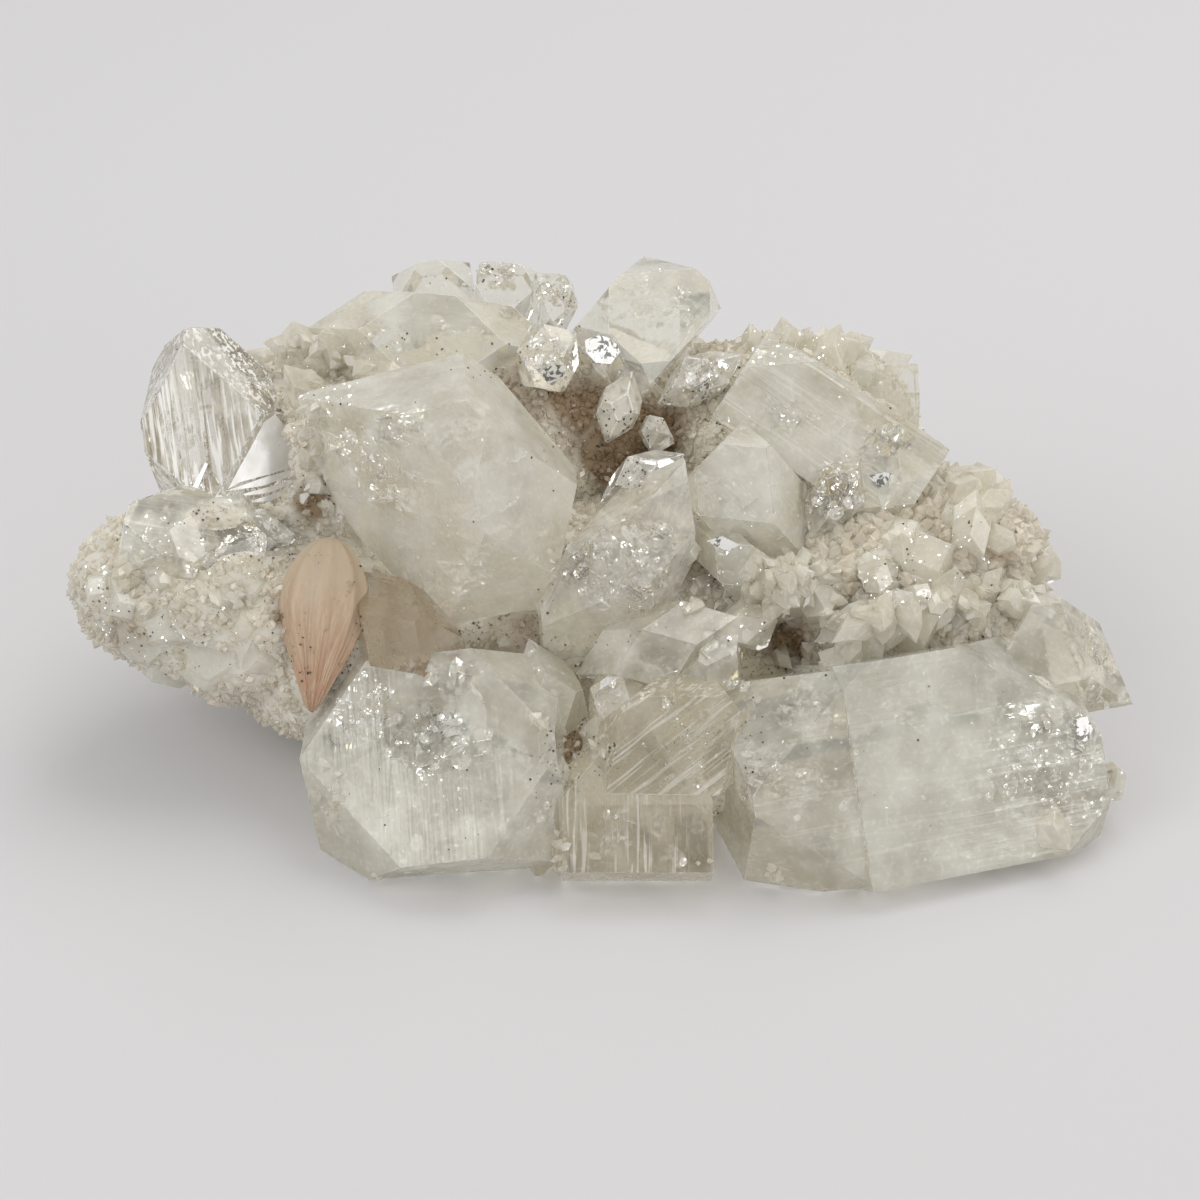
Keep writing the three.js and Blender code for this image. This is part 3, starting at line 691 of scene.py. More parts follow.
def clearedBlock():  # the crystal's own faces, one of them moved out, and a plane through the line of sight
    crystal = crystals["left_crystals"][clearedFace["crystal"]]
    spot, out = spotAt(crystalTree, *clearedFace["spot"])
    faces = []
    for normal, far, kind in crystal["faces"]:
        room = clearedFace["room"] if normal.dot(out) > 0.99 else clearedFace["aside"]
        faces.append((normal, far + room, kind))
    start, first = sightLine(*clearedFace["rim"][0])
    second = sightLine(*clearedFace["rim"][1])[1]
    down = first.cross(second).normalized()
    down = down if down.z < 0 else -down
    faces.append((down, down.dot(start), "rim"))
    return cutBlock("clearedFace", Vector(crystal["at"]) + toOrigin, rock["reach"], faces)


def makeRock():
    made = []
    for at, size in lumps:
        bpy.ops.mesh.primitive_ico_sphere_add(subdivisions=5, radius=mm, scale=size,
                                              location=(Vector(at) + toOrigin) * mm)
        made.append(bpy.context.object)
    for lump in made:
        lump.select_set(True)
    bpy.ops.object.join()
    piece = bpy.context.object
    piece.name = piece.data.name = "drusyMatrix"
    bpy.ops.object.transform_apply(location=True, rotation=True, scale=True)
    bpy.ops.object.mode_set(mode="EDIT")
    bpy.ops.mesh.select_all(action="SELECT")
    bpy.ops.mesh.bisect(plane_co=(0, 0, 0), plane_no=(0, 0, 1), clear_inner=True, use_fill=True)
    bpy.ops.object.mode_set(mode="OBJECT")
    applyModifier(piece, "REMESH", mode="VOXEL", voxel_size=rock["voxel"] * mm)
    spots = verticesOf(piece.data) / mm - np.array(toOrigin)
    normals = np.empty(len(spots) * 3, dtype=np.float32)
    piece.data.vertices.foreach_get("normal", normals)
    normals = normals.reshape(-1, 3)
    wander = spots / rock["spacing"]
    push = rock["roughness"] * (latticeNoise(wander) + 0.5 * latticeNoise(wander * 2 + [9, 0, 0]))
    coarse, fine = rock["sugarSpacing"]
    push += rock["sugar"] * (latticeNoise(spots / coarse) + 0.5 * latticeNoise(spots / fine + 17))
    push = push * np.clip(spots[:, 2] - rock["calm"], 0, 1)
    spots = spots + normals * push[:, None]
    spots[:, 2] = np.maximum(spots[:, 2], 0)
    piece.data.vertices.foreach_set("co", ((spots + np.array(toOrigin)) * mm).ravel())
    piece.data.update()
    for number, crystal in enumerate(everyCrystal):  # the bed of each crystal, so nothing shows inside it
        faces = [(normal, far - rock["bite"], kind) for normal, far, kind in crystal["faces"]]
        bed = cutBlock(f"bed{number}", Vector(crystal["at"]) + toOrigin, rock["reach"], faces)
        applyModifier(piece, "BOOLEAN", object=bed, operation="DIFFERENCE", solver="MANIFOLD")
        bpy.data.objects.remove(bed)
    block = clearedBlock()
    applyModifier(piece, "BOOLEAN", object=block, operation="DIFFERENCE", solver="MANIFOLD")
    bpy.data.objects.remove(block)
    bpy.ops.object.select_all(action="DESELECT")
    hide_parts("matrix")
    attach(piece, "root")
    return piece


def markBeds(piece):  # the faces that a crystal grows from are pale root, the second material
    depth = depthInAny(np.array([face.center for face in piece.data.polygons]) / mm)
    piece.data.polygons.foreach_set("material_index", (depth < rock["bite"] * -0.5).astype(np.int32))
    piece.data.update()


dustAndShadeZones = [  # brown dust and painted shade in the hollows: across, down, radius in frame points and how much
    (600, 425, 40, 0.55), (645, 440, 36, 0.9), (612, 462, 26, 0.9), (680, 398, 26, 0.4), (575, 395, 26, 0.4),
    (790, 640, 24, 0.8), (812, 618, 24, 0.4), (582, 756, 30, 0.7), (600, 784, 18, 0.4), (562, 728, 16, 0.6),
    (362, 600, 24, 0.6), (313, 503, 18, 0.8), (300, 640, 16, 0.6), (752, 735, 14, 0.6), (880, 600, 26, 0.4),
    (915, 615, 14, 0.7), (1000, 545, 28, 0.3), (310, 355, 34, 0.3), (380, 350, 30, 0.3), (725, 345, 26, 0.35),
    (520, 640, 40, 0.4), (640, 652, 50, 0.4), (700, 565, 26, 0.4), (130, 640, 30, 0.3), (285, 610, 14, 0.7),
    (960, 540, 40, 0.2), (520, 400, 40, 0.4), (795, 590, 24, 0.3),
]


# one dark brown for the dust and for the painted shade in the hollows
dustAndShadeColor = (0.27, 0.19, 0.11)


def dustAndShadeOver(sketch, place, color, wisp):  # the hollows' brown dust and painted shade laid over a colour
    total = None
    for across, down, radius, amount in dustAndShadeZones:
        spot, normal = spotAt(solidTree, across, down)
        if spot:
            away = sketch.vector("DISTANCE", place, tuple(spot * mm), out=1)
            reach = radius / frameScale * mm
            share = away.between(reach * 1.5, reach * 0.6) * amount
            total = total + share if total else share
    share = sketch.node("Clamp", None, {0: total * (0.95 + wisp), 1: 0.0, 2: 1.0})
    return sketch.mixColor(share, color, dustAndShadeColor)


def rootMaterial():
    sketch = Sketch("paleRoots")
    place = sketch.place()
    broad = sketch.noise(place, 5, detail=4, rough=0.6).between(0.36, 0.64)
    color = sketch.mixColor(broad, (0.93, 0.91, 0.85), (0.86, 0.80, 0.69))
    grain = sketch.noise(place, 1.1, detail=4, rough=0.6)
    color = sketch.mixColor(grain.between(0.56, 0.7) * 0.5, color, (0.50, 0.42, 0.30))
    return sketch.surface(sketch.principled({
        "Base Color": color, "Roughness": 0.5, "Normal": sketch.bump(grain, 0.3, 0.8)}))


def rockMaterial():
    sketch = Sketch("sugaryMatrix")
    place = sketch.place()
    broad = sketch.noise(place, 11, detail=3, rough=0.55).between(0.36, 0.64)
    fine = sketch.noise(place, 1.6, detail=4, rough=0.65, lift=0.2)
    color = sketch.mixColor(broad, (0.74, 0.71, 0.62), (0.66, 0.60, 0.48))
    color = sketch.mixColor(fine.between(0.42, 0.66), color, (0.76, 0.74, 0.67))
    stainAndShadeNoise = sketch.noise(place, 4, detail=3, rough=0.7, lift=0.5)
    color = sketch.mixColor(stainAndShadeNoise.between(0.6, 0.75) * 0.4, color, (0.46, 0.35, 0.23))
    # brown dust and painted shade in the hollows
    color = dustAndShadeOver(sketch, place, color, stainAndShadeNoise)
    specks = sketch.cells(place, 0.9).between(0.13, 0.09)
    patch = sketch.noise(place, 6, detail=2, lift=0.9).between(0.5, 0.62)
    color = sketch.mixColor(specks * patch, color, (0.05, 0.04, 0.03))
    return sketch.surface(sketch.principled({
        "Base Color": color, "Roughness": 0.42 + fine * 0.3, "Normal": sketch.bump(fine, 0.2, 0.45)}))


matrixPiece = makeRock()
matrixPiece.data.materials.clear()
matrixPiece.data.materials.append(rockMaterial())
matrixPiece.data.materials.append(rootMaterial())
markBeds(matrixPiece)
print("stage: matrix", len(matrixPiece.data.polygons))


# Smaller crystals grown on the matrix: some listed one by one, some strewn in clouds.
perched = [  # middle in mm, and half width
    ((18.5, -6, 21.5), 2.5), ((15.5, -5.5, 22), 2.1), ((21.5, -7, 20.5), 1.9), ((14, -9, 19), 2),
    ((27.5, -5.5, 20.5), 2.2), ((34.5, -5.5, 19.5), 2.1), ((30, -3, 22.5), 1.7), ((-30.5, 16, 35), 2),
    ((-26.5, 16, 35), 2.3), ((-21.5, 11.5, 35), 2.2), ((5.5, 7, 31.5), 1.3), ((0, -15.5, 10.5), 1.6),
    ((43.5, -21, 3.5), 1.8), ((50.5, -15, 4.5), 1.4),
]
perchedSeed = 411
clouds = [
    dict(at=(36, 0, 25), spread=(13, 8, 8), count=14, half=(1, 1.9), seed=411),
    dict(at=(29, -6, 22), spread=(7, 4, 4), count=3, half=(1, 1.7), seed=12),
    dict(at=(20, 15, 36), spread=(10, 7, 5), count=9, half=(0.9, 1.6), seed=77),
    dict(at=(-29, 15, 35), spread=(9, 8, 5), count=4, half=(1, 1.8), seed=5),
    dict(at=(-33, 20, 20), spread=(13, 6, 10), count=3, half=(1.2, 2.4), seed=31),
    dict(at=(8, 20, 22), spread=(24, 8, 12), count=5, half=(1.2, 2.4), seed=9),
    dict(at=(42, 4, 13), spread=(7, 9, 7), count=4, half=(1.1, 1.8), seed=64),
]


class Dice:  # the same steps as the solids use, so that each small crystal stands where its solid does
    def __init__(self, seed):
        self.state = seed

    def between(self, low, high):
        self.state = (self.state * 1664525 + 1013904223) % 4294967296
        return low + (high - low) * self.state / 4294967296


def smallCrystal(dice, at, out, half):
    heading = math.degrees(math.atan2(out[1], out[0])) + dice.between(-60, 60)
    tilt = math.degrees(math.asin(out[2])) + dice.between(-45, 45)
    spin = dice.between(0, 90)
    return dict(at=tuple(at), heading=heading, tilt=tilt, spin=spin, half=half,
                top=half * dice.between(1.9, 2.7), foot=half * 4, base=half * 1.2)


def surfacePoint(middle, out):  # where a line from a lump's middle leaves the lumps for good
    reach = 0
    for at, size in lumps:
        size = np.array(size)
        start, step = (middle - np.array(at)) / size, out / size
        a, b = step @ step, start @ step
        root = b * b - a * (start @ start - 1)
        if root > 0:
            reach = max(reach, (-b + math.sqrt(root)) / a)
    return middle + out * reach


def insideCrystals(spot, margin):
    shifted = np.array([spot]) + np.array(toOrigin)
    return any(depthIn(crystal, shifted)[0] <= margin for crystal in everyCrystal)


def strewnCrystals():
    dice = Dice(perchedSeed)
    made = [smallCrystal(dice, at, (0, -0.7, 0.7), half) for at, half in perched]
    for cloud in clouds:
        dice = Dice(cloud["seed"])
        placed = 0
        for attempt in range(400):
            if placed == cloud["count"]:
                break
            aim = np.array([centre + reach * dice.between(-1, 1)
                            for centre, reach in zip(cloud["at"], cloud["spread"])])
            middle = min((np.array(at) for at, size in lumps), key=lambda at: np.linalg.norm(aim - at))
            out = (aim - middle) / np.linalg.norm(aim - middle)
            root = surfacePoint(middle, out)
            half = dice.between(*cloud["half"])
            if root[2] < 2 or insideCrystals(root, half * 0.6):
                continue
            made.append(smallCrystal(dice, root + out * half * 0.35, out, half))
            placed += 1
    return made


grownInSeed = 58
grownIn = [  # crystals that hardly stand out of the matrix: across, down, half width in mm and look
    (232, 512, 3.2, "clear"), (268, 540, 2.8, "clear"), (205, 560, 3.6, "hazy"), (160, 575, 3.4, "clear"),
    (120, 592, 3.2, "hazy"), (98, 625, 2.6, "hazy"), (135, 640, 3.8, "hazy"), (180, 622, 4.2, "hazy"),
    (225, 608, 3.8, "hazy"), (256, 585, 2.8, "hazy"), (160, 672, 3.2, "hazy"), (205, 665, 3.6, "hazy"),
    (250, 655, 3.0, "hazy"), (245, 627, 2.6, "hazy"), (112, 662, 2.4, "hazy"), (90, 590, 2.0, "hazy"),
    (318, 420, 1.8, "hazy"), (322, 455, 1.6, "hazy"), (318, 385, 2.0, "hazy"), (303, 350, 2.2, "hazy"),
    (335, 352, 2.0, "drusy"), (868, 560, 2.6, "hazy"), (905, 540, 2.8, "hazy"), (940, 560, 3.0, "drusy"),
    (975, 585, 2.6, "hazy"), (925, 600, 2.4, "drusy"), (885, 600, 2.2, "hazy"), (990, 555, 2.2, "hazy"),
    (1010, 610, 2.2, "drusy"), (850, 610, 2.4, "hazy"), (955, 525, 2.4, "hazy"), (900, 505, 2.2, "hazy"),
    (830, 585, 2.2, "clear"), (1020, 575, 1.8, "drusy"), (960, 615, 2.2, "hazy"), (735, 345, 1.6, "drusy"),
    (770, 335, 1.4, "drusy"), (800, 345, 1.5, "hazy"), (840, 365, 1.4, "drusy"), (865, 372, 1.6, "hazy"),
    (705, 330, 1.4, "drusy"), (700, 590, 2.0, "hazy"), (735, 600, 2.2, "hazy"), (762, 620, 2.0, "drusy"),
    (690, 560, 1.6, "hazy"), (795, 560, 2.2, "clear"), (770, 572, 1.8, "hazy"), (560, 640, 2.0, "hazy"),
    (505, 645, 1.8, "hazy"), (585, 742, 1.6, "hazy"),
]


def grownCrystals():
    tree = treeOf([*crystalPieces.values(), matrixPiece])
    dice = Dice(grownInSeed)
    made = []
    for across, down, half, look in grownIn:
        spot, out = spotAt(tree, across, down)
        if not spot:
            continue
        at = spot - toOrigin - out * half * 1.3
        heading = math.degrees(math.atan2(out[1], out[0])) + dice.between(-35, 35)
        tilt = math.degrees(math.asin(out[2])) + dice.between(-30, 30)
        made.append(dict(at=tuple(at), heading=heading, tilt=tilt, spin=dice.between(0, 90), half=half,
                         look=look, top=half * dice.between(1.9, 2.5), foot=half * 4, base=half * 1.2,
                         cap=half * dice.between(1.5, 1.75)))
    return made


def makePerched():
    blocks = []
    for number, crystal in enumerate(smallCrystals):
        middle = Vector(crystal["at"]) + toOrigin
        block = cutBlock(f"small{number}", middle, crystal["half"] * 3, crystal["faces"])
        block.data.materials.append(sharedMaterials[crystal.get("look", "drusy")])
        blocks.append(block)
    piece = joinPieces(blocks, "perchedCrystals")
    applyModifier(piece, "BEVEL", width=0.06 * mm, segments=1, limit_method="ANGLE", angle_limit=0.35)
    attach(piece, "root")
    return piece


smallCrystals = strewnCrystals() + grownCrystals()
for crystal in smallCrystals:
    prepare(crystal)
perchedPiece = makePerched()
print("stage: perched crystals", len(smallCrystals), len(perchedPiece.data.polygons))


# Druse: two small crystals and a grain are modelled once, then set by the thousand on the matrix.
druse = {
    "seed": 23,
    "bury": 0.48,    # share of a grain's size that is sunk in
    "clear": 0.15,   # mm, kept between a grain's middle and a larger crystal
    "lowest": 0.8,   # mm, no grain is rooted below this
    "floor": 0.02,   # mm, no corner reaches below this
    "fade": 1.4,     # where a field has thinned out to nothing, as a share of its reach
    "stretch": (0.75, 1.25),  # least and most, along each axis of a grain
}
druseFields = [  # at and reach: where it grows, mm. count, size in mm, share of crystals against grains
    dict(name="druseRidge", at=(20, 15, 34), reach=(14, 12, 9), count=3600, size=(0.35, 1.3), crystals=0.8),
    dict(name="druseSlope", at=(34, -1, 22), reach=(16, 13, 12), count=6500, size=(0.35, 1.4), crystals=0.85),
    dict(name="druseMiddle", at=(6, 0, 22), reach=(16, 12, 16), count=5200, size=(0.25, 0.9), crystals=0.6),
    dict(name="druseLeft", at=(-40, -3, 17), reach=(18, 16, 14), count=6000, size=(0.25, 0.9), crystals=0.7),
    dict(name="druseCrown", at=(-18, 14, 34), reach=(24, 12, 10), count=4200, size=(0.3, 1.1), crystals=0.6),
    dict(name="druseFront", at=(8, -14, 8), reach=(34, 14, 12), count=5200, size=(0.2, 0.8), crystals=0.5),
    dict(name="druseBack", at=(-8, 22, 18), reach=(44, 14, 22), count=8500, size=(0.3, 1.1), crystals=0.45),
    dict(name="druseRear", at=(34, 12, 14), reach=(20, 14, 16), count=5200, size=(0.3, 1.2), crystals=0.55),
    dict(name="druseFoot", at=(46, -3, 6), reach=(14, 12, 10), count=3200, size=(0.25, 0.9), crystals=0.6),
]


def unitCrystal(name, half, top, base):  # about 1 across, rooted at the origin, c axis up
    crystal = dict(at=tuple(-toOrigin), heading=0, tilt=90, spin=0, half=half, top=top, foot=9, base=base)
    return cutBlock(name, (0, 0, 0), 2, facesOf(crystal))


def unitShapes():
    shapes = [unitCrystal("sharpDruse", (0.5, 0.5, 0.42, 0.42), 1.15, 0.4),
              unitCrystal("bluntDruse", (0.5, 0.5, 0.5, 0.5), (0.9, 1.0, 0.8, 1.0), 0.4)]
    bpy.ops.mesh.primitive_ico_sphere_add(subdivisions=1, radius=0.55 * mm)
    shapes.append(bpy.context.object)
    return [trianglesOf(shape) for shape in shapes]


def trianglesOf(shape):  # its corners in mm and its triangles; the shape itself goes
    bpy.ops.object.select_all(action="DESELECT")
    shape.select_set(True)
    bpy.context.view_layer.objects.active = shape
    bpy.ops.object.mode_set(mode="EDIT")
    bpy.ops.mesh.select_all(action="SELECT")
    bpy.ops.mesh.quads_convert_to_tris()
    bpy.ops.object.mode_set(mode="OBJECT")
    corners = verticesOf(shape.data) / mm
    triangles = np.array([tuple(face.vertices) for face in shape.data.polygons])
    bpy.data.objects.remove(shape)
    return corners, triangles


def surfaceOf(piece):  # triangle corners in mm, areas and normals
    mesh = piece.data
    mesh.calc_loop_triangles()
    index = np.empty(len(mesh.loop_triangles) * 3, dtype=np.int32)
    mesh.loop_triangles.foreach_get("vertices", index)
    corners = (verticesOf(mesh) / mm)[index.reshape(-1, 3)]
    cross = np.cross(corners[:, 1] - corners[:, 0], corners[:, 2] - corners[:, 0])
    area = np.linalg.norm(cross, axis=1) / 2
    return corners, area, cross / np.maximum(2 * area, 1e-12)[:, None]


def turnsTowards(out, chance, lean):  # a random turn for each grain, its c axis near the surface's normal
    c = out + chance.normal(size=out.shape) * lean
    c /= np.linalg.norm(c, axis=1)[:, None]
    side = np.cross(c, chance.normal(size=out.shape))
    side /= np.linalg.norm(side, axis=1)[:, None]
    return np.stack([side, np.cross(c, side), c], axis=2)


def meshOf(name, corners, triangles):  # mm
    mesh = bpy.data.meshes.new(name)
    mesh.from_pydata((corners * mm).tolist(), [], triangles.tolist())
    piece = bpy.data.objects.new(name, mesh)
    bpy.context.scene.collection.objects.link(piece)
    return piece


def strew(name, units, spots, outs, sizes, kinds, chance, lean=0.5):  # one joined mesh of many small shapes
    turns = turnsTowards(outs, chance, lean)
    stretch = chance.uniform(*druse["stretch"], (len(spots), 3)) * sizes[:, None]
    corners, triangles, first = [], [], 0
    for number, (shape, faces) in enumerate(units):
        chosen = np.flatnonzero(kinds == number)
        if not len(chosen):
            continue
        placed = np.einsum("nij,nkj->nki", turns[chosen], shape[None] * stretch[chosen][:, None])
        placed += spots[chosen][:, None]
        corners.append(placed.reshape(-1, 3))
        steps = np.arange(len(chosen)) * len(shape) + first
        triangles.append((faces[None] + steps[:, None, None]).reshape(-1, 3))
        first += len(chosen) * len(shape)
    corners = np.concatenate(corners)
    corners[:, 2] = np.maximum(corners[:, 2], druse["floor"])
    return meshOf(name, corners, np.concatenate(triangles))


def sizesFrom(chance, low, high, count=None, power=1.6):  # more small ones than large
    return low + (high - low) * chance.uniform(0, 1, count) ** power


def makeDruse(field, chance):
    middle = np.array(field["at"]) + np.array(toOrigin)
    centres = rockCorners.mean(axis=1)
    off = np.linalg.norm((centres - middle) / np.array(field["reach"]), axis=1)
    weight = rockArea * np.clip(druse["fade"] - off, 0, 1) * (centres[:, 2] > druse["lowest"])
    picked = chance.choice(len(weight), field["count"], p=weight / weight.sum())
    share = chance.dirichlet((1, 1, 1), len(picked))
    spots = (rockCorners[picked] * share[:, :, None]).sum(axis=1)
    outs = rockNormals[picked]
    sizes = sizesFrom(chance, *field["size"], len(picked), power=2.5)
    free = np.ones(len(picked), dtype=bool)
    for crystal in everyCrystal + smallCrystals:
        free &= depthIn(crystal, spots) > druse["clear"]
    spots, outs, sizes = spots[free], outs[free], sizes[free]
    isCrystal = chance.uniform(size=len(spots)) < field["crystals"]
    kinds = np.where(isCrystal, chance.integers(0, 2, len(spots)), 2)
    spots = spots + outs * (sizes * (0.5 - druse["bury"]))[:, None]
    piece = strew(field["name"], units, spots, outs, sizes, kinds, chance)
    piece.data.materials.append(druseMaterial)
    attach(piece, "root")
    return piece


def makeDruseMaterial():
    sketch = Sketch("drusyCrystals")
    place = sketch.place()
    broad = sketch.noise(place, 7, detail=2, rough=0.55).between(0.36, 0.64)
    single = sketch.noise(place, 1.2, detail=1, lift=0.4).between(0.38, 0.62)
    dustAndShadeBreakup = sketch.noise(place, 3, detail=3, rough=0.6, lift=0.7)
    color = sketch.mixColor(broad, (0.77, 0.74, 0.66), (0.75, 0.69, 0.57))
    color = sketch.mixColor(single * 0.4, color, (0.68, 0.60, 0.47))
    # brown dust and painted shade in the hollows
    color = dustAndShadeOver(sketch, place, color, dustAndShadeBreakup)
    shader = sketch.principled({"Base Color": color, "Roughness": 0.14, "IOR": crystalGlass["ior"]})
    glass = sketch.glass(0.05, crystalGlass["ior"], (0.98, 0.96, 0.91))
    return sketch.surface(sketch.mixShader((0.56 + single * 0.3) * sketch.entering(), glass, shader))


units = unitShapes()
rockCorners, rockArea, rockNormals = surfaceOf(matrixPiece)
druseMaterial = makeDruseMaterial()
dice = np.random.default_rng(druse["seed"])
drusePieces = [makeDruse(field, dice) for field in druseFields]
print("stage: druse", [len(piece.data.polygons) for piece in drusePieces])


# Cracks and veils inside the crystals: thin crumpled sheets that catch the light.
cracks = {
    "seed": 71,
    "thin": 0.02, "crumple": 0.2, "rim": 0.45,  # mm, for a sheet 2 mm across
    "wobble": 0.18,      # how far a sheet turns from the way it is given
    "gleamWobble": 0.07,
    "roomShare": 3,      # a sheet is at most this many times as wide as its distance from the face
}
crackZones = [  # across, down, reach across and down, count, size and depth in mm
    (215, 540, 85, 55, 170, (0.5, 2.0), (0.2, 2.6)), (270, 535, 32, 28, 80, (0.6, 1.8), (0.2, 1.5)),
    (262, 372, 30, 25, 40, (0.4, 1.4), (0.2, 1.6)), (200, 440, 45, 60, 30, (0.5, 2.0), (0.5, 3)),
    (372, 462, 40, 38, 70, (0.5, 2.2), (0.3, 2.5)), (400, 428, 30, 18, 30, (1.0, 2.6), (0.3, 2)),
    (480, 560, 70, 50, 20, (0.6, 2.4), (0.5, 4)), (618, 572, 60, 40, 150, (0.5, 2.0), (0.3, 3)),
    (570, 560, 25, 35, 40, (0.5, 1.8), (0.2, 2)), (655, 545, 22, 25, 30, (0.6, 2.0), (0.2, 2)),
    (345, 700, 40, 42, 60, (0.6, 2.4), (0.3, 2.5)), (430, 742, 62, 32, 110, (0.8, 3.0), (0.2, 2.5)),
    (445, 680, 50, 20, 35, (0.8, 2.4), (0.3, 2)), (440, 820, 80, 50, 45, (0.4, 1.6), (0.3, 4)),
    (740, 700, 20, 30, 30, (0.5, 1.6), (0.2, 2)), (655, 700, 22, 16, 15, (0.5, 1.4), (0.2, 1)),
    (680, 750, 45, 40, 25, (0.5, 1.8), (0.4, 3)), (640, 840, 60, 35, 25, (0.4, 1.4), (0.3, 3)),
    (728, 650, 30, 25, 45, (0.5, 1.8), (0.2, 1.6)), (1040, 765, 75, 62, 300, (0.4, 1.8), (0.2, 3)),
    (1083, 730, 20, 18, 50, (0.8, 2.4), (0.1, 1)), (1105, 690, 22, 28, 45, (0.5, 1.8), (0.2, 2)),
    (985, 850, 40, 20, 25, (0.4, 1.4), (0.2, 2)), (850, 760, 100, 70, 50, (0.4, 1.8), (0.4, 4)),
    (1095, 640, 28, 42, 60, (0.5, 2.0), (0.2, 2.4)), (835, 487, 34, 34, 130, (0.5, 2.0), (0.1, 2)),
    (725, 500, 42, 35, 45, (0.6, 2.4), (0.2, 2)), (780, 540, 28, 25, 30, (0.6, 2.0), (0.2, 1.6)),
    (780, 420, 36, 22, 45, (0.5, 2.0), (0.2, 2)), (885, 445, 26, 22, 50, (0.5, 2.0), (0.1, 1.6)),
    (883, 480, 16, 8, 15, (0.8, 2.0), (0.1, 0.8)), (718, 390, 16, 28, 25, (0.8, 2.0), (0.1, 1.4)),
    (885, 575, 28, 22, 90, (0.4, 1.4), (0.1, 1.4)), (545, 358, 26, 26, 60, (0.5, 1.6), (0.2, 2)),
    (601, 351, 14, 12, 45, (0.5, 1.4), (0.1, 1)), (695, 372, 26, 22, 60, (0.5, 1.6), (0.1, 1.6)),
    (620, 408, 18, 16, 25, (0.4, 1.2), (0.2, 1.4)), (640, 478, 20, 18, 30, (0.4, 1.4), (0.2, 1.4)),
    (645, 300, 42, 30, 30, (0.6, 2.2), (0.3, 3)), (420, 332, 42, 20, 30, (0.6, 2.2), (0.3, 2.5)),
    (495, 275, 24, 16, 40, (0.4, 1.4), (0.2, 2)), (560, 290, 22, 18, 45, (0.4, 1.4), (0.2, 2)),
    (550, 690, 20, 20, 15, (0.5, 1.4), (0.2, 1.4)), (610, 695, 22, 28, 35, (0.5, 1.6), (0.1, 1.4)),
    (545, 825, 15, 30, 30, (0.4, 1.4), (0.1, 1.4)), (885, 375, 12, 15, 12, (0.5, 1.4), (0.2, 1.2)),
    (410, 620, 30, 25, 25, (0.5, 1.6), (0.2, 1.4)),
]
veilZones = [  # the same, for milky sheets
    (450, 510, 110, 90, 26, (3, 8), (0.6, 5)), (440, 790, 100, 70, 20, (3, 7), (0.6, 5)),
    (930, 750, 150, 80, 34, (3, 8), (0.6, 5)), (200, 420, 50, 60, 10, (2, 5), (0.5, 3)),
    (620, 580, 60, 60, 14, (2, 5), (0.4, 3)), (760, 480, 60, 50, 14, (2, 5), (0.4, 3)),
    (820, 420, 90, 45, 14, (2, 6), (0.4, 3)), (690, 740, 50, 50, 10, (2, 5), (0.4, 3)),
    (640, 310, 50, 40, 8, (2, 5), (0.4, 3)), (640, 840, 60, 40, 8, (2, 4), (0.4, 3)),
]


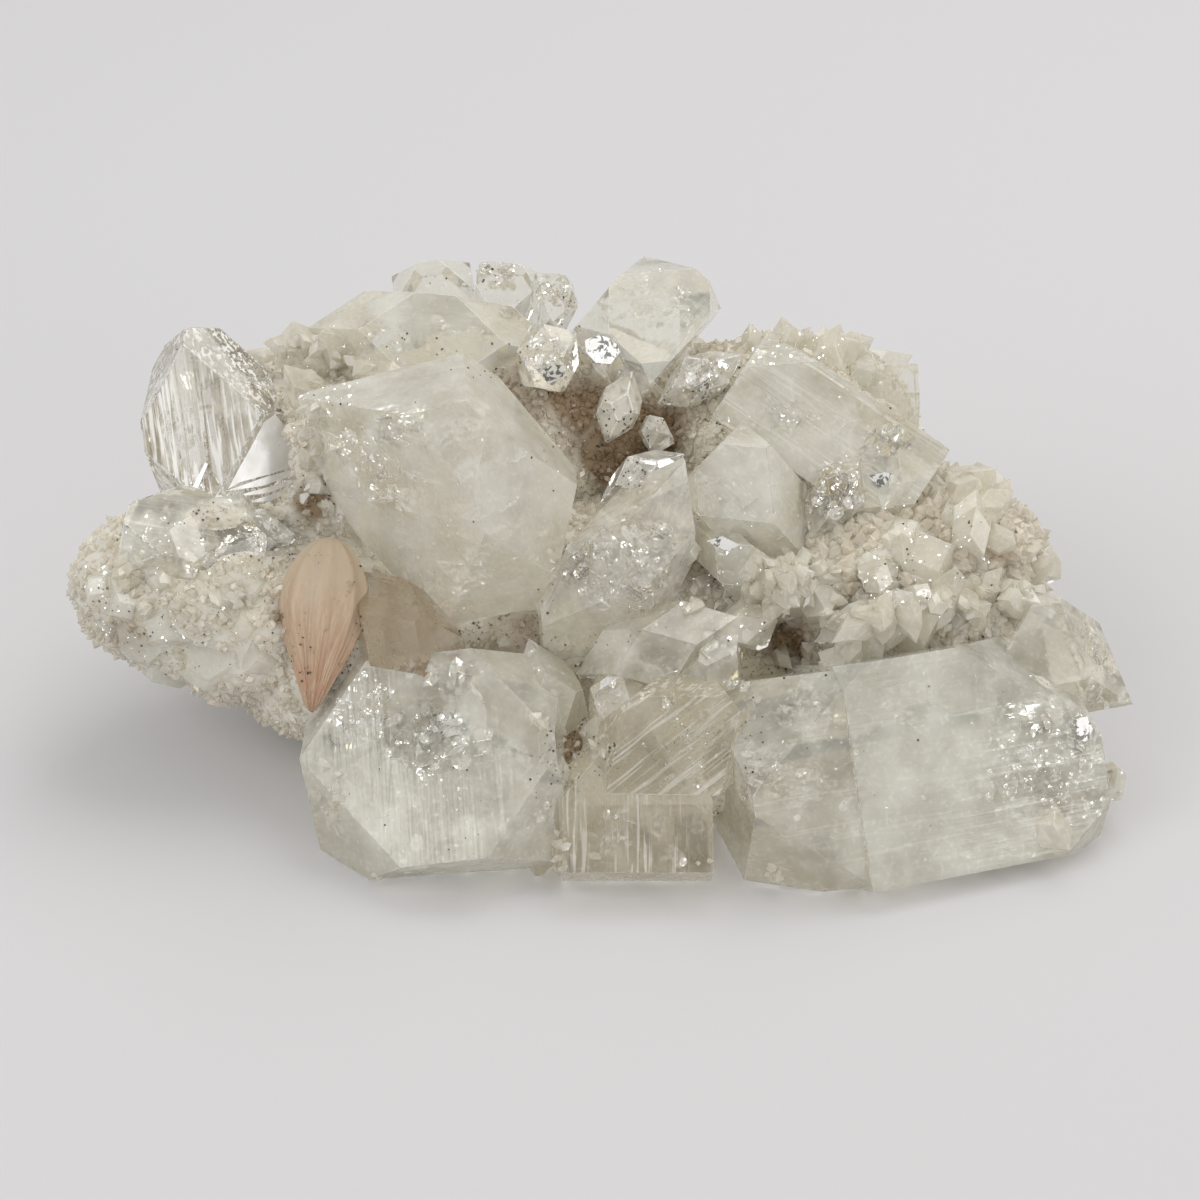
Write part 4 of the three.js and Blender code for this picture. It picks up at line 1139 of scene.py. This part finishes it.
gleamZones = [  # sheets that throw a lamp's light at the camera
    (262, 375, 22, 20, 6, (0.4, 1.2), (0.2, 1)), (1083, 730, 12, 12, 16, (1.0, 2.2), (0.1, 0.8)),
    (1060, 745, 34, 26, 14, (0.4, 1.2), (0.2, 1.4)), (1000, 790, 60, 30, 10, (0.3, 0.9), (0.2, 1.4)),
    (601, 348, 12, 9, 16, (0.6, 1.6), (0.1, 0.6)), (728, 541, 20, 9, 10, (0.6, 1.6), (0.1, 0.6)),
    (883, 481, 14, 5, 7, (0.6, 1.4), (0.1, 0.6)), (706, 398, 5, 24, 12, (0.5, 1.4), (0.1, 0.6)),
    (690, 360, 24, 10, 12, (0.4, 1.2), (0.1, 0.8)), (835, 487, 26, 24, 22, (0.4, 1.3), (0.1, 1)),
    (885, 575, 22, 14, 16, (0.4, 1.2), (0.1, 0.8)), (925, 592, 16, 4, 5, (0.5, 1.2), (0.1, 0.5)),
    (785, 412, 18, 12, 8, (0.4, 1.4), (0.1, 1)), (885, 440, 16, 12, 9, (0.4, 1.2), (0.1, 1)),
    (270, 538, 28, 22, 26, (0.4, 1.4), (0.1, 1)), (200, 540, 70, 40, 22, (0.3, 1.2), (0.1, 1.2)),
    (430, 742, 52, 26, 14, (0.4, 1.6), (0.1, 1.2)), (330, 715, 24, 20, 8, (0.4, 1.4), (0.1, 1.2)),
    (615, 570, 48, 32, 20, (0.3, 1.2), (0.2, 1.4)), (545, 358, 22, 22, 10, (0.3, 1.1), (0.1, 1)),
    (372, 455, 32, 30, 8, (0.4, 1.4), (0.2, 1.4)), (735, 690, 16, 14, 7, (0.4, 1.3), (0.1, 0.8)),
    (430, 772, 14, 4, 4, (0.5, 1.2), (0.1, 0.5)), (560, 290, 22, 14, 8, (0.3, 1), (0.1, 0.8)),
    (480, 280, 26, 12, 8, (0.3, 1), (0.1, 0.8)), (640, 480, 16, 14, 8, (0.3, 1), (0.1, 0.8)),
    (1100, 650, 22, 30, 9, (0.4, 1.2), (0.1, 1)), (538, 665, 12, 16, 6, (0.4, 1.2), (0.1, 0.7)),
    (430, 500, 150, 110, 90, (0.12, 0.4), (0.05, 1)), (430, 790, 110, 90, 80, (0.12, 0.4), (0.05, 1)),
    (950, 760, 170, 110, 130, (0.12, 0.4), (0.05, 1)), (1050, 750, 60, 60, 70, (0.2, 0.7), (0.05, 1)),
    (780, 450, 120, 70, 80, (0.12, 0.45), (0.05, 1)), (500, 310, 130, 40, 60, (0.12, 0.4), (0.05, 1)),
    (645, 300, 50, 40, 30, (0.12, 0.5), (0.05, 1)), (690, 740, 50, 50, 30, (0.12, 0.4), (0.05, 1)),
    (170, 590, 90, 70, 110, (0.12, 0.42), (-0.1, 0.02)), (930, 560, 90, 60, 100, (0.12, 0.4), (-0.1, 0.02)),
    (780, 340, 70, 25, 60, (0.12, 0.45), (-0.1, 0.02)), (320, 390, 40, 70, 50, (0.12, 0.5), (-0.1, 0.02)),
    (740, 600, 60, 40, 50, (0.12, 0.5), (-0.1, 0.02)), (360, 702, 40, 28, 60, (0.15, 0.7), (0.02, 0.5)),
    (440, 735, 50, 26, 40, (0.15, 0.7), (0.02, 0.6)), (785, 415, 40, 22, 50, (0.15, 0.7), (0.02, 0.5)),
    (745, 505, 40, 22, 50, (0.15, 0.7), (0.02, 0.5)), (655, 300, 36, 26, 45, (0.15, 0.8), (0.02, 0.5)),
    (385, 350, 26, 22, 40, (0.15, 0.7), (0.02, 0.5)), (560, 370, 24, 20, 30, (0.15, 0.8), (0.02, 0.4)),
    (615, 570, 50, 34, 50, (0.15, 0.7), (0.02, 0.5)), (375, 440, 40, 26, 40, (0.15, 0.7), (0.02, 0.5)),
    (860, 470, 50, 26, 40, (0.15, 0.6), (0.02, 0.5)), (700, 745, 30, 26, 20, (0.15, 0.5), (0.02, 0.5)),
    (1070, 770, 50, 60, 60, (0.2, 0.8), (0.02, 0.6)), (1100, 650, 26, 36, 30, (0.15, 0.6), (0.02, 0.5)),
]


def unitSheet(seed):  # 2 mm across, crumpled, with hardly any thickness
    bpy.ops.mesh.primitive_circle_add(vertices=8, radius=mm, fill_type="NGON")
    sheet = bpy.context.object
    bpy.ops.object.mode_set(mode="EDIT")
    bpy.ops.mesh.select_all(action="SELECT")
    bpy.ops.mesh.inset(thickness=cracks["rim"] * mm)
    bpy.ops.mesh.poke()
    bpy.ops.mesh.select_all(action="SELECT")
    bpy.ops.transform.vertex_random(offset=cracks["crumple"] * mm, seed=seed)
    bpy.ops.mesh.extrude_region_move(TRANSFORM_OT_translate={"value": (0, 0, cracks["thin"] * mm)})
    bpy.ops.mesh.select_all(action="SELECT")
    bpy.ops.mesh.normals_make_consistent(inside=False)
    bpy.ops.object.mode_set(mode="OBJECT")
    return sheet


def lampTurns(spot, normal):  # normals that mirror a lamp towards the camera; the one nearest the face's own
    start = cameraAxes()[0]
    ways = [((start - spot).normalized() + (Vector(lamp["spot"]) / mm - spot).normalized()).normalized()
            for lamp in lamps.values()]
    return max(ways, key=lambda way: way.dot(normal))


def pointIn(chance, across, down, wide, high):  # a point of the frame, inside an ellipse
    angle, far = chance.uniform(0, 2 * math.pi), math.sqrt(chance.uniform(0, 1))
    return across + wide * far * math.cos(angle), down + high * far * math.sin(angle)


def sheetsInside(zones, chance, flat):  # places, directions, sizes; flat: share along the cleavage
    spots, outs, sizes = [], [], []
    for *ellipse, count, size, depth in zones:
        below = depth[0] > 0  # whether the whole sheet has to lie under the face
        for attempt in range(count):
            point = pointIn(chance, *ellipse)
            spot, normal = spotAt(shownTree, *point)
            reach = sizesFrom(chance, *size)
            if not spot:
                continue
            crystal = nearestOf(allCrystals, spot)
            way = sightLine(*point)[1]
            spot = np.array(spot + way * chance.uniform(*depth) + way * reach * (0.15 if below else 0))
            room = -depthIn(crystal, spot[None])[0]
            if below and room < min(depth[0], 0.1):
                continue
            if below:
                reach = min(reach, room * cracks["roomShare"])
            if flat is None:
                out = np.array(lampTurns(Vector(spot), normal))
                out = out + chance.normal(size=3) * cracks["gleamWobble"]
            else:
                out = np.array(crystal["axes"][2]) if chance.uniform() < flat else chance.normal(size=3)
                out = out / np.linalg.norm(out) + chance.normal(size=3) * cracks["wobble"]
            spots.append(spot)
            outs.append(out)
            sizes.append(reach)
    return np.array(spots), np.array(outs), np.array(sizes)


def makeSheets(name, zones, material, chance, flat):
    spots, outs, sizes = sheetsInside(zones, chance, flat)
    kinds = chance.integers(0, len(sheetUnits), len(spots))
    outs /= np.linalg.norm(outs, axis=1)[:, None]
    piece = strew(name, sheetUnits, spots, outs, sizes / 2, kinds, chance, lean=0.05)
    piece.data.materials.append(material)
    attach(piece, "root")
    return piece


def crackMaterial(name, metallic):
    sketch = Sketch(name)
    place = sketch.place()
    tint = sketch.mixColor(sketch.noise(place, 0.9).between(0.4, 0.6), (0.98, 0.97, 0.94), (0.90, 0.87, 0.80))
    return sketch.surface(sketch.principled({"Base Color": tint, "Metallic": metallic, "Roughness": 0.1}))


def veilMaterial():
    sketch = Sketch("milkVeils")
    place = sketch.place()
    wisps = sketch.noise(place, 1.1, detail=3, rough=0.7, twist=1.5)
    torn = wisps.between(0.44, 0.66) * 0.55
    tint = sketch.mixColor(wisps, (0.90, 0.88, 0.82), (0.97, 0.96, 0.93))
    return sketch.surface(sketch.principled({"Base Color": tint, "Roughness": 0.45, "Alpha": torn}))


shownTree = treeOf([*crystalPieces.values(), matrixPiece, perchedPiece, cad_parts["stilbite"]])
allCrystals = everyCrystal + smallCrystals
sheetUnits = [trianglesOf(unitSheet(seed)) for seed in (3, 8, 14)]
dice = np.random.default_rng(cracks["seed"])
sheetPieces = [
    makeSheets("innerCracks", crackZones, crackMaterial("mirrorCracks", 0.6), dice, 0.45),
    makeSheets("gleamingCracks", gleamZones, crackMaterial("gleamCracks", 1.0), dice, None),
    makeSheets("innerVeils", veilZones, veilMaterial(), dice, 0.6),
]
print("stage: cracks and veils", [len(piece.data.polygons) for piece in sheetPieces])


# Bright faces that mirror the window, each a thin leaf on the crystal's own face, whitened as a painted
# highlight.
highlightLeaf = {"thick": 0.02, "lift": 0.03}  # mm
steppedFaces = [  # corners in frame points, in turn
    ((275, 414), (286, 428), (292, 449), (295, 466), (270, 474), (240, 482), (228, 489), (238, 470),
     (252, 445), (264, 422)),
    ((226, 491), (262, 478), (294, 469), (294, 475), (262, 486)),
    ((232, 497), (268, 487), (294, 478), (294, 483), (268, 493)),
    ((240, 504), (270, 495), (290, 487), (290, 492), (270, 501)),
    ((193, 487), (205, 463), (208, 464), (198, 488)),
]
mirrorFaces = [
    ((585, 340), (600, 335), (616, 340), (620, 352), (611, 364), (596, 363), (586, 352)),
    ((540, 372), (552, 364), (566, 366), (562, 378), (548, 384)),
    ((868, 476), (885, 472), (898, 476), (894, 484), (878, 487)),
    ((706, 541), (722, 536), (740, 545), (728, 552)),
    ((1076, 719), (1087, 716), (1093, 729), (1086, 742), (1077, 739)),
    ((913, 590), (922, 588), (930, 591), (920, 594)),
    ((704, 380), (709, 376), (708, 402), (704, 428), (701, 404)),
]


def pearlHighlightMaterial(name, tilt, pitted):  # tilt: how far the steps of a face lean from the face itself. The near-white leaf is a painted highlight
    sketch = Sketch(name)
    place = sketch.place()
    haze = sketch.noise(place, 1.3, detail=3, rough=0.6)
    # near white: a painted highlight on top of the lamps' real reflection
    color = sketch.mixColor(haze.between(0.4, 0.65), (0.99, 0.985, 0.97), (0.90, 0.89, 0.85))
    pits = sketch.noise(place, 0.7, detail=2, rough=0.6, twist=0.8, lift=0.3).between(0.53, 0.57) * pitted
    color = sketch.mixColor(pits, color, (0.22, 0.21, 0.19))
    normal = sketch.vector("NORMALIZE", sketch.vector("ADD", sketch.bump(haze, 0.05, 0.4), tilt))
    return sketch.surface(sketch.principled({
        "Base Color": color, "Roughness": 0.22 + haze * 0.15, "Metallic": 0.35, "Normal": normal}))


def makePearlHighlights(name, faces, material):
    leaves = []
    for corners in faces:
        bpy.ops.object.select_all(action="DESELECT")
        bpy.ops.mesh.primitive_circle_add(vertices=len(corners), radius=mm, fill_type="NGON")
        leaf = bpy.context.object
        middle, normal = spotAt(crystalTree, *np.mean(corners, axis=0))
        for vert, corner in zip(leaf.data.vertices, corners):  # onto the plane of the crystal's face
            start, aim = sightLine(*corner)
            far = (middle - start).dot(normal) / aim.dot(normal)
            vert.co = (start + aim * far + normal * highlightLeaf["lift"]) * mm
        bpy.ops.object.transform_apply(location=True, rotation=True, scale=True)
        applyModifier(leaf, "SOLIDIFY", thickness=highlightLeaf["thick"] * mm, offset=0)
        leaves.append(leaf)
    piece = joinPieces(leaves, name)
    bpy.context.view_layer.objects.active = piece
    bpy.ops.object.mode_set(mode="EDIT")
    bpy.ops.mesh.select_all(action="SELECT")
    bpy.ops.mesh.normals_make_consistent(inside=False)
    bpy.ops.object.mode_set(mode="OBJECT")
    piece.data.materials.clear()
    piece.data.materials.append(material)
    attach(piece, "root")
    return piece


pearlHighlightPieces = [
    makePearlHighlights("steppedPearlHighlight", steppedFaces, pearlHighlightMaterial("steppedPearlHighlight", (-0.1, 0.03, 0.19), 0)),
    makePearlHighlights("mirrorPearlHighlight", mirrorFaces, pearlHighlightMaterial("mirrorPearlHighlight", (0, 0, 0), 1)),
]
print("stage: pearly faces", sum(len(piece.data.polygons) for piece in pearlHighlightPieces))


# Dark grains along the contacts, and small broken bits at the feet.
specks = {
    "seed": 37,
    "size": (0.07, 0.26),  # mm
    "contacts": 2600,      # how many lie along the crystals' feet
    "contactReach": 0.5,   # mm from a crystal
}
speckZones = [  # across, down, reach across and down, count
    (305, 470, 14, 50, 40), (160, 640, 90, 40, 60), (640, 640, 90, 14, 26),
    (205, 515, 40, 22, 16), (225, 532, 30, 12, 8), (125, 620, 42, 36, 30), (272, 625, 12, 30, 26),
    (315, 560, 14, 10, 5), (358, 600, 10, 55, 12), (675, 415, 42, 32, 70), (580, 435, 42, 46, 45),
    (315, 515, 20, 16, 28), (582, 760, 38, 32, 60), (782, 635, 22, 26, 28), (752, 735, 12, 42, 22),
    (510, 635, 55, 14, 24), (800, 340, 66, 34, 26), (950, 560, 75, 62, 60), (810, 672, 55, 8, 12),
    (545, 605, 10, 40, 12), (400, 335, 55, 14, 12), (360, 400, 60, 8, 10), (860, 560, 60, 30, 25),
    (300, 655, 14, 30, 16), (602, 350, 11, 9, 10), (190, 340, 50, 10, 6), (700, 560, 40, 20, 12),
    (90, 600, 16, 40, 10),
    (620, 450, 34, 44, 110), (585, 400, 24, 16, 40), (500, 360, 70, 20, 26), (430, 800, 110, 80, 14),
    (950, 760, 170, 110, 16), (440, 480, 130, 110, 16), (420, 290, 40, 18, 8), (500, 280, 20, 16, 10),
    (575, 312, 16, 30, 22), (545, 880, 20, 8, 14), (430, 884, 20, 6, 10), (545, 760, 16, 50, 40),
]
bitZones = [  # across, down, reach across and down, count, size in mm
    (442, 886, 14, 4, 4, (0.4, 0.9)), (380, 878, 12, 5, 3, (0.4, 0.9)), (490, 882, 14, 4, 3, (0.4, 0.9)),
    (770, 872, 14, 8, 8, (0.5, 1.2)), (1045, 868, 24, 8, 9, (0.5, 1.3)), (1124, 805, 6, 18, 8, (0.5, 1.2)),
    (545, 720, 16, 10, 4, (0.4, 1.0)), (590, 750, 30, 20, 10, (0.3, 0.8)),
    (785, 575, 38, 26, 30, (0.6, 1.6)), (700, 600, 26, 12, 14, (0.5, 1.2)),
    (320, 505, 16, 20, 18, (0.4, 1.1)), (300, 350, 28, 12, 22, (0.6, 1.6)),
    (345, 365, 20, 14, 16, (0.6, 1.6)), (860, 610, 40, 14, 26, (0.6, 1.6)),
    (1000, 590, 40, 14, 22, (0.6, 1.5)),
    (820, 656, 40, 10, 12, (1.0, 2.4)), (872, 622, 40, 12, 16, (1.0, 2.8)),
    (965, 606, 60, 10, 16, (1.0, 2.4)),
    (200, 596, 70, 20, 36, (0.5, 1.5)), (140, 580, 34, 30, 20, (0.6, 1.6)), (312, 455, 7, 40, 14, (0.8, 1.8)),
    (312, 400, 6, 30, 8, (0.8, 1.8)), (780, 590, 40, 22, 18, (0.8, 2.2)),
    (560, 850, 8, 20, 8, (0.4, 1.0)), (700, 864, 14, 8, 3, (0.3, 0.6)), (330, 790, 14, 30, 16, (0.4, 1.1)),
]


def strewnOn(zones, chance):  # points on what shows, over the zones' ellipses
    spots, outs, sizes = [], [], []
    for *ellipse, count, size in zones:
        for attempt in range(count):
            spot, normal = spotAt(shownTree, *pointIn(chance, *ellipse))
            if spot and spot.z > 0.3:
                spots.append(spot)
                outs.append(normal)
                sizes.append(size)
    return np.array(spots), np.array(outs), np.array(sizes)


def grainMaterial():
    sketch = Sketch("darkGrains")
    share = sketch.noise(sketch.place(), 0.8).between(0.4, 0.6)
    color = sketch.mixColor(share, (0.03, 0.022, 0.015), (0.17, 0.12, 0.07))
    return sketch.surface(sketch.principled({"Base Color": color, "Roughness": 0.5}))


def makeSpecks(chance):
    spots, outs = strewnOn([(*zone, specks["size"]) for zone in speckZones], chance)[:2]
    centres = rockCorners.mean(axis=1)
    near = depthInAny(centres)
    chosen = np.flatnonzero((near > 0) & (near < specks["contactReach"]) & (centres[:, 2] > 1))
    chosen = chance.choice(chosen, specks["contacts"])
    spots = np.concatenate([spots, centres[chosen] + rockNormals[chosen] * 0.1])
    outs = np.concatenate([outs, rockNormals[chosen]])
    sizes = sizesFrom(chance, *specks["size"], len(spots), power=2)
    piece = strew("darkSpecks", units[2:], spots, outs, sizes, np.zeros(len(spots)), chance, lean=2)
    piece.data.materials.append(grainMaterial())
    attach(piece, "root")
    return piece


def makeBits(chance):
    spots, outs, reach = strewnOn(bitZones, chance)
    sizes = sizesFrom(chance, *reach.T, len(spots))
    spots = spots + outs * sizes[:, None] * 0.02
    kinds = chance.integers(0, 2, len(spots))
    piece = strew("brokenBits", units, spots, outs, sizes, kinds, chance, lean=0.8)
    piece.data.materials.append(sharedMaterials["drusy"])
    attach(piece, "root")
    return piece


dice = np.random.default_rng(specks["seed"])
speckPiece = makeSpecks(dice)
bitPiece = makeBits(dice)
print("stage: specks and bits", len(speckPiece.data.polygons), len(bitPiece.data.polygons))


# Stilbite: a rounded sheaf of blades that fan out from its tip.
sheaf = {
    "tip": (-28.2, -14.6, 12.6), "crown": (-26.4, -3.2, 25.8), "side": (0.94, -0.25, 0),  # mm
    "width": 5, "thickness": 3.6,  # mm, half of each
    "ribs": 9, "ribDepth": 0.05,
    "blades": 46, "bladeDepth": 0.10,  # mm, finer ridges that meet at the tip
    "bundles": 0.12,               # mm, the wander of the ridges
    "fibresAndSheen": 34,                  # how fine the fibre streaks are, whose pale colour is partly a painted satin sheen
}


def sheafAxes():
    tip, crown = Vector(sheaf["tip"]), Vector(sheaf["crown"])
    up = (crown - tip).normalized()
    side = Vector(sheaf["side"])
    side = (side - up * side.dot(up)).normalized()
    return (tip + crown) / 2, side, up.cross(side), up, (crown - tip).length


def makeSheaf():
    middle, side, back, up, long = sheafAxes()
    bpy.ops.object.select_all(action="DESELECT")
    bpy.ops.mesh.primitive_uv_sphere_add(segments=180, ring_count=60, radius=mm)
    piece = bpy.context.object
    piece.name = piece.data.name = "stilbiteSheaf"
    unit = verticesOf(piece.data) / mm
    x, y, z = unit.T
    share = (z + 1) / 2
    swell = 0.45 + 0.55 * np.sin(np.minimum(1, share * 1.35) * math.pi / 2) ** 2
    turn = np.arctan2(y, x)
    ring = np.stack([np.cos(turn) * 2.2, np.sin(turn) * 2.2, share * 1.3], axis=1)
    wander = latticeNoise(ring * 3 + 5) * 0.5
    fine = latticeNoise(np.stack([np.cos(turn) * 9, np.sin(turn) * 9, share * 1.1], axis=1) + 31)
    blade = np.abs(np.sin((turn * sheaf["blades"] / 2) + wander * 3)) - 0.64
    low = np.clip((0.8 - share) / 0.4, 0.12, 1)  # the blades run out towards the rounded end
    rib = 1 + sheaf["ribDepth"] * np.cos(sheaf["ribs"] * turn) - sheaf["ribDepth"]
    girth = np.sqrt(np.maximum(1 - z * z, 0))
    ridge = (blade * sheaf["bladeDepth"] + fine * sheaf["bundles"]) * low * np.minimum(girth * 1.6, 1) - 0.14
    out = np.stack([np.cos(turn), np.sin(turn)], axis=1) * ridge[:, None]
    flat = np.stack([x * sheaf["width"] * swell * rib, y * sheaf["thickness"] * swell * rib], axis=1)
    flat = flat + out * (girth > 0)[:, None]
    tall = z * (long / 2 - 0.1)
    places = (np.array(middle + toOrigin) + flat[:, :1] * np.array(side) + flat[:, 1:] * np.array(back)
              + tall[:, None] * np.array(up))
    piece.data.vertices.foreach_set("co", (places * mm).ravel())
    piece.data.update()
    bpy.ops.object.shade_smooth_by_angle(angle=0.7)
    piece.select_set(False)
    piece.data.materials.append(stilbiteMaterial())
    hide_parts("stilbite")
    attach(piece, "root")
    return piece


def stilbiteMaterial():
    sketch = Sketch("peachStilbite")
    place = sketch.place()
    up, long = sheafAxes()[3:]
    tip = (Vector(sheaf["tip"]) + toOrigin) * mm
    away = sketch.vector("SUBTRACT", place, tuple(tip))
    high = sketch.vector("DOT_PRODUCT", away, tuple(up), out=1)
    fan = sketch.vector("MULTIPLY", sketch.vector("NORMALIZE", away), (sheaf["fibresAndSheen"],) * 3)
    fibresAndSheen = sketch.node("TexNoise", None, {"Vector": fan, "Scale": 1.0, "Detail": 4, "Roughness": 0.65})
    share = high * (1 / (long * mm))
    blotch = sketch.noise(place, 4, detail=3, rough=0.6)
    pink = (share + (blotch - 0.5) * 0.5).between(0.75, 0.2)
    color = sketch.mixColor(pink, (0.56, 0.45, 0.32), (0.52, 0.30, 0.18))
    # pale fibre streaks: partly their own colour, partly a painted satin sheen
    color = sketch.mixColor(fibresAndSheen.between(0.42, 0.62) * share.between(0.95, 0.45), color, (0.64, 0.49, 0.35))
    dirt = sketch.noise(place, 1.3, detail=4, rough=0.7, lift=0.6).between(0.6, 0.72) * 0.5
    color = sketch.mixColor(dirt, color, (0.24, 0.16, 0.10))
    height = fibresAndSheen * share.between(1.0, 0.4) + sketch.noise(place, 0.4, detail=2) * 0.4
    return sketch.surface(sketch.principled({
        "Base Color": color, "Roughness": 0.3 + fibresAndSheen * 0.25, "Normal": sketch.bump(height, 0.12, 0.7),
        "Subsurface Weight": 0.35, "Subsurface Radius": (1.0, 0.8, 0.6), "Subsurface Scale": 0.002}))


stilbitePiece = makeSheaf()
print("stage: stilbite", len(stilbitePiece.data.polygons))


studio = {
    "floor": (0.69, 0.68, 0.68),
    "world": (0.82, 0.82, 0.83),
    "worldStrength": 0.69,
    "floorSize": 4,       # m
    "floorGap": 0.00005,  # m below the part
    "aim": (0, 0, 0.02),  # m, what the lamps point at
}


def makeFloor():
    sketch = Sketch("paleFloor")
    shader = sketch.principled({
        "Base Color": (*studio["floor"], 1), "Roughness": 0.75, "Specular IOR Level": 0.2})
    bpy.ops.mesh.primitive_plane_add(size=studio["floorSize"], location=(0, 0, -studio["floorGap"]))
    floor = bpy.context.object
    floor.name = "floor"
    floor.data.materials.append(sketch.surface(shader))


def makeLamp(name, lamp):
    aim = Vector(studio["aim"]) - Vector(lamp["spot"])
    turn = aim.to_track_quat("-Z", "Y").to_euler()
    bpy.ops.object.light_add(type="AREA", location=lamp["spot"], rotation=turn)
    light = bpy.context.object
    light.name = name
    light.data.shape = "RECTANGLE"
    light.data.size, light.data.size_y = lamp["size"]
    light.data.energy = lamp["power"]
    light.data.color = lamp["color"]


def makeWorld():
    world = bpy.data.worlds.new("softRoom")
    world.use_nodes = True
    backdrop = world.node_tree.nodes["Background"]
    backdrop.inputs["Color"].default_value = (*studio["world"], 1)
    backdrop.inputs["Strength"].default_value = studio["worldStrength"]
    bpy.context.scene.world = world


makeFloor()
makeWorld()
for name, lamp in lamps.items():
    makeLamp(name, lamp)
bpy.context.scene.view_settings.view_transform = "Standard"
print("stage: floor and light")
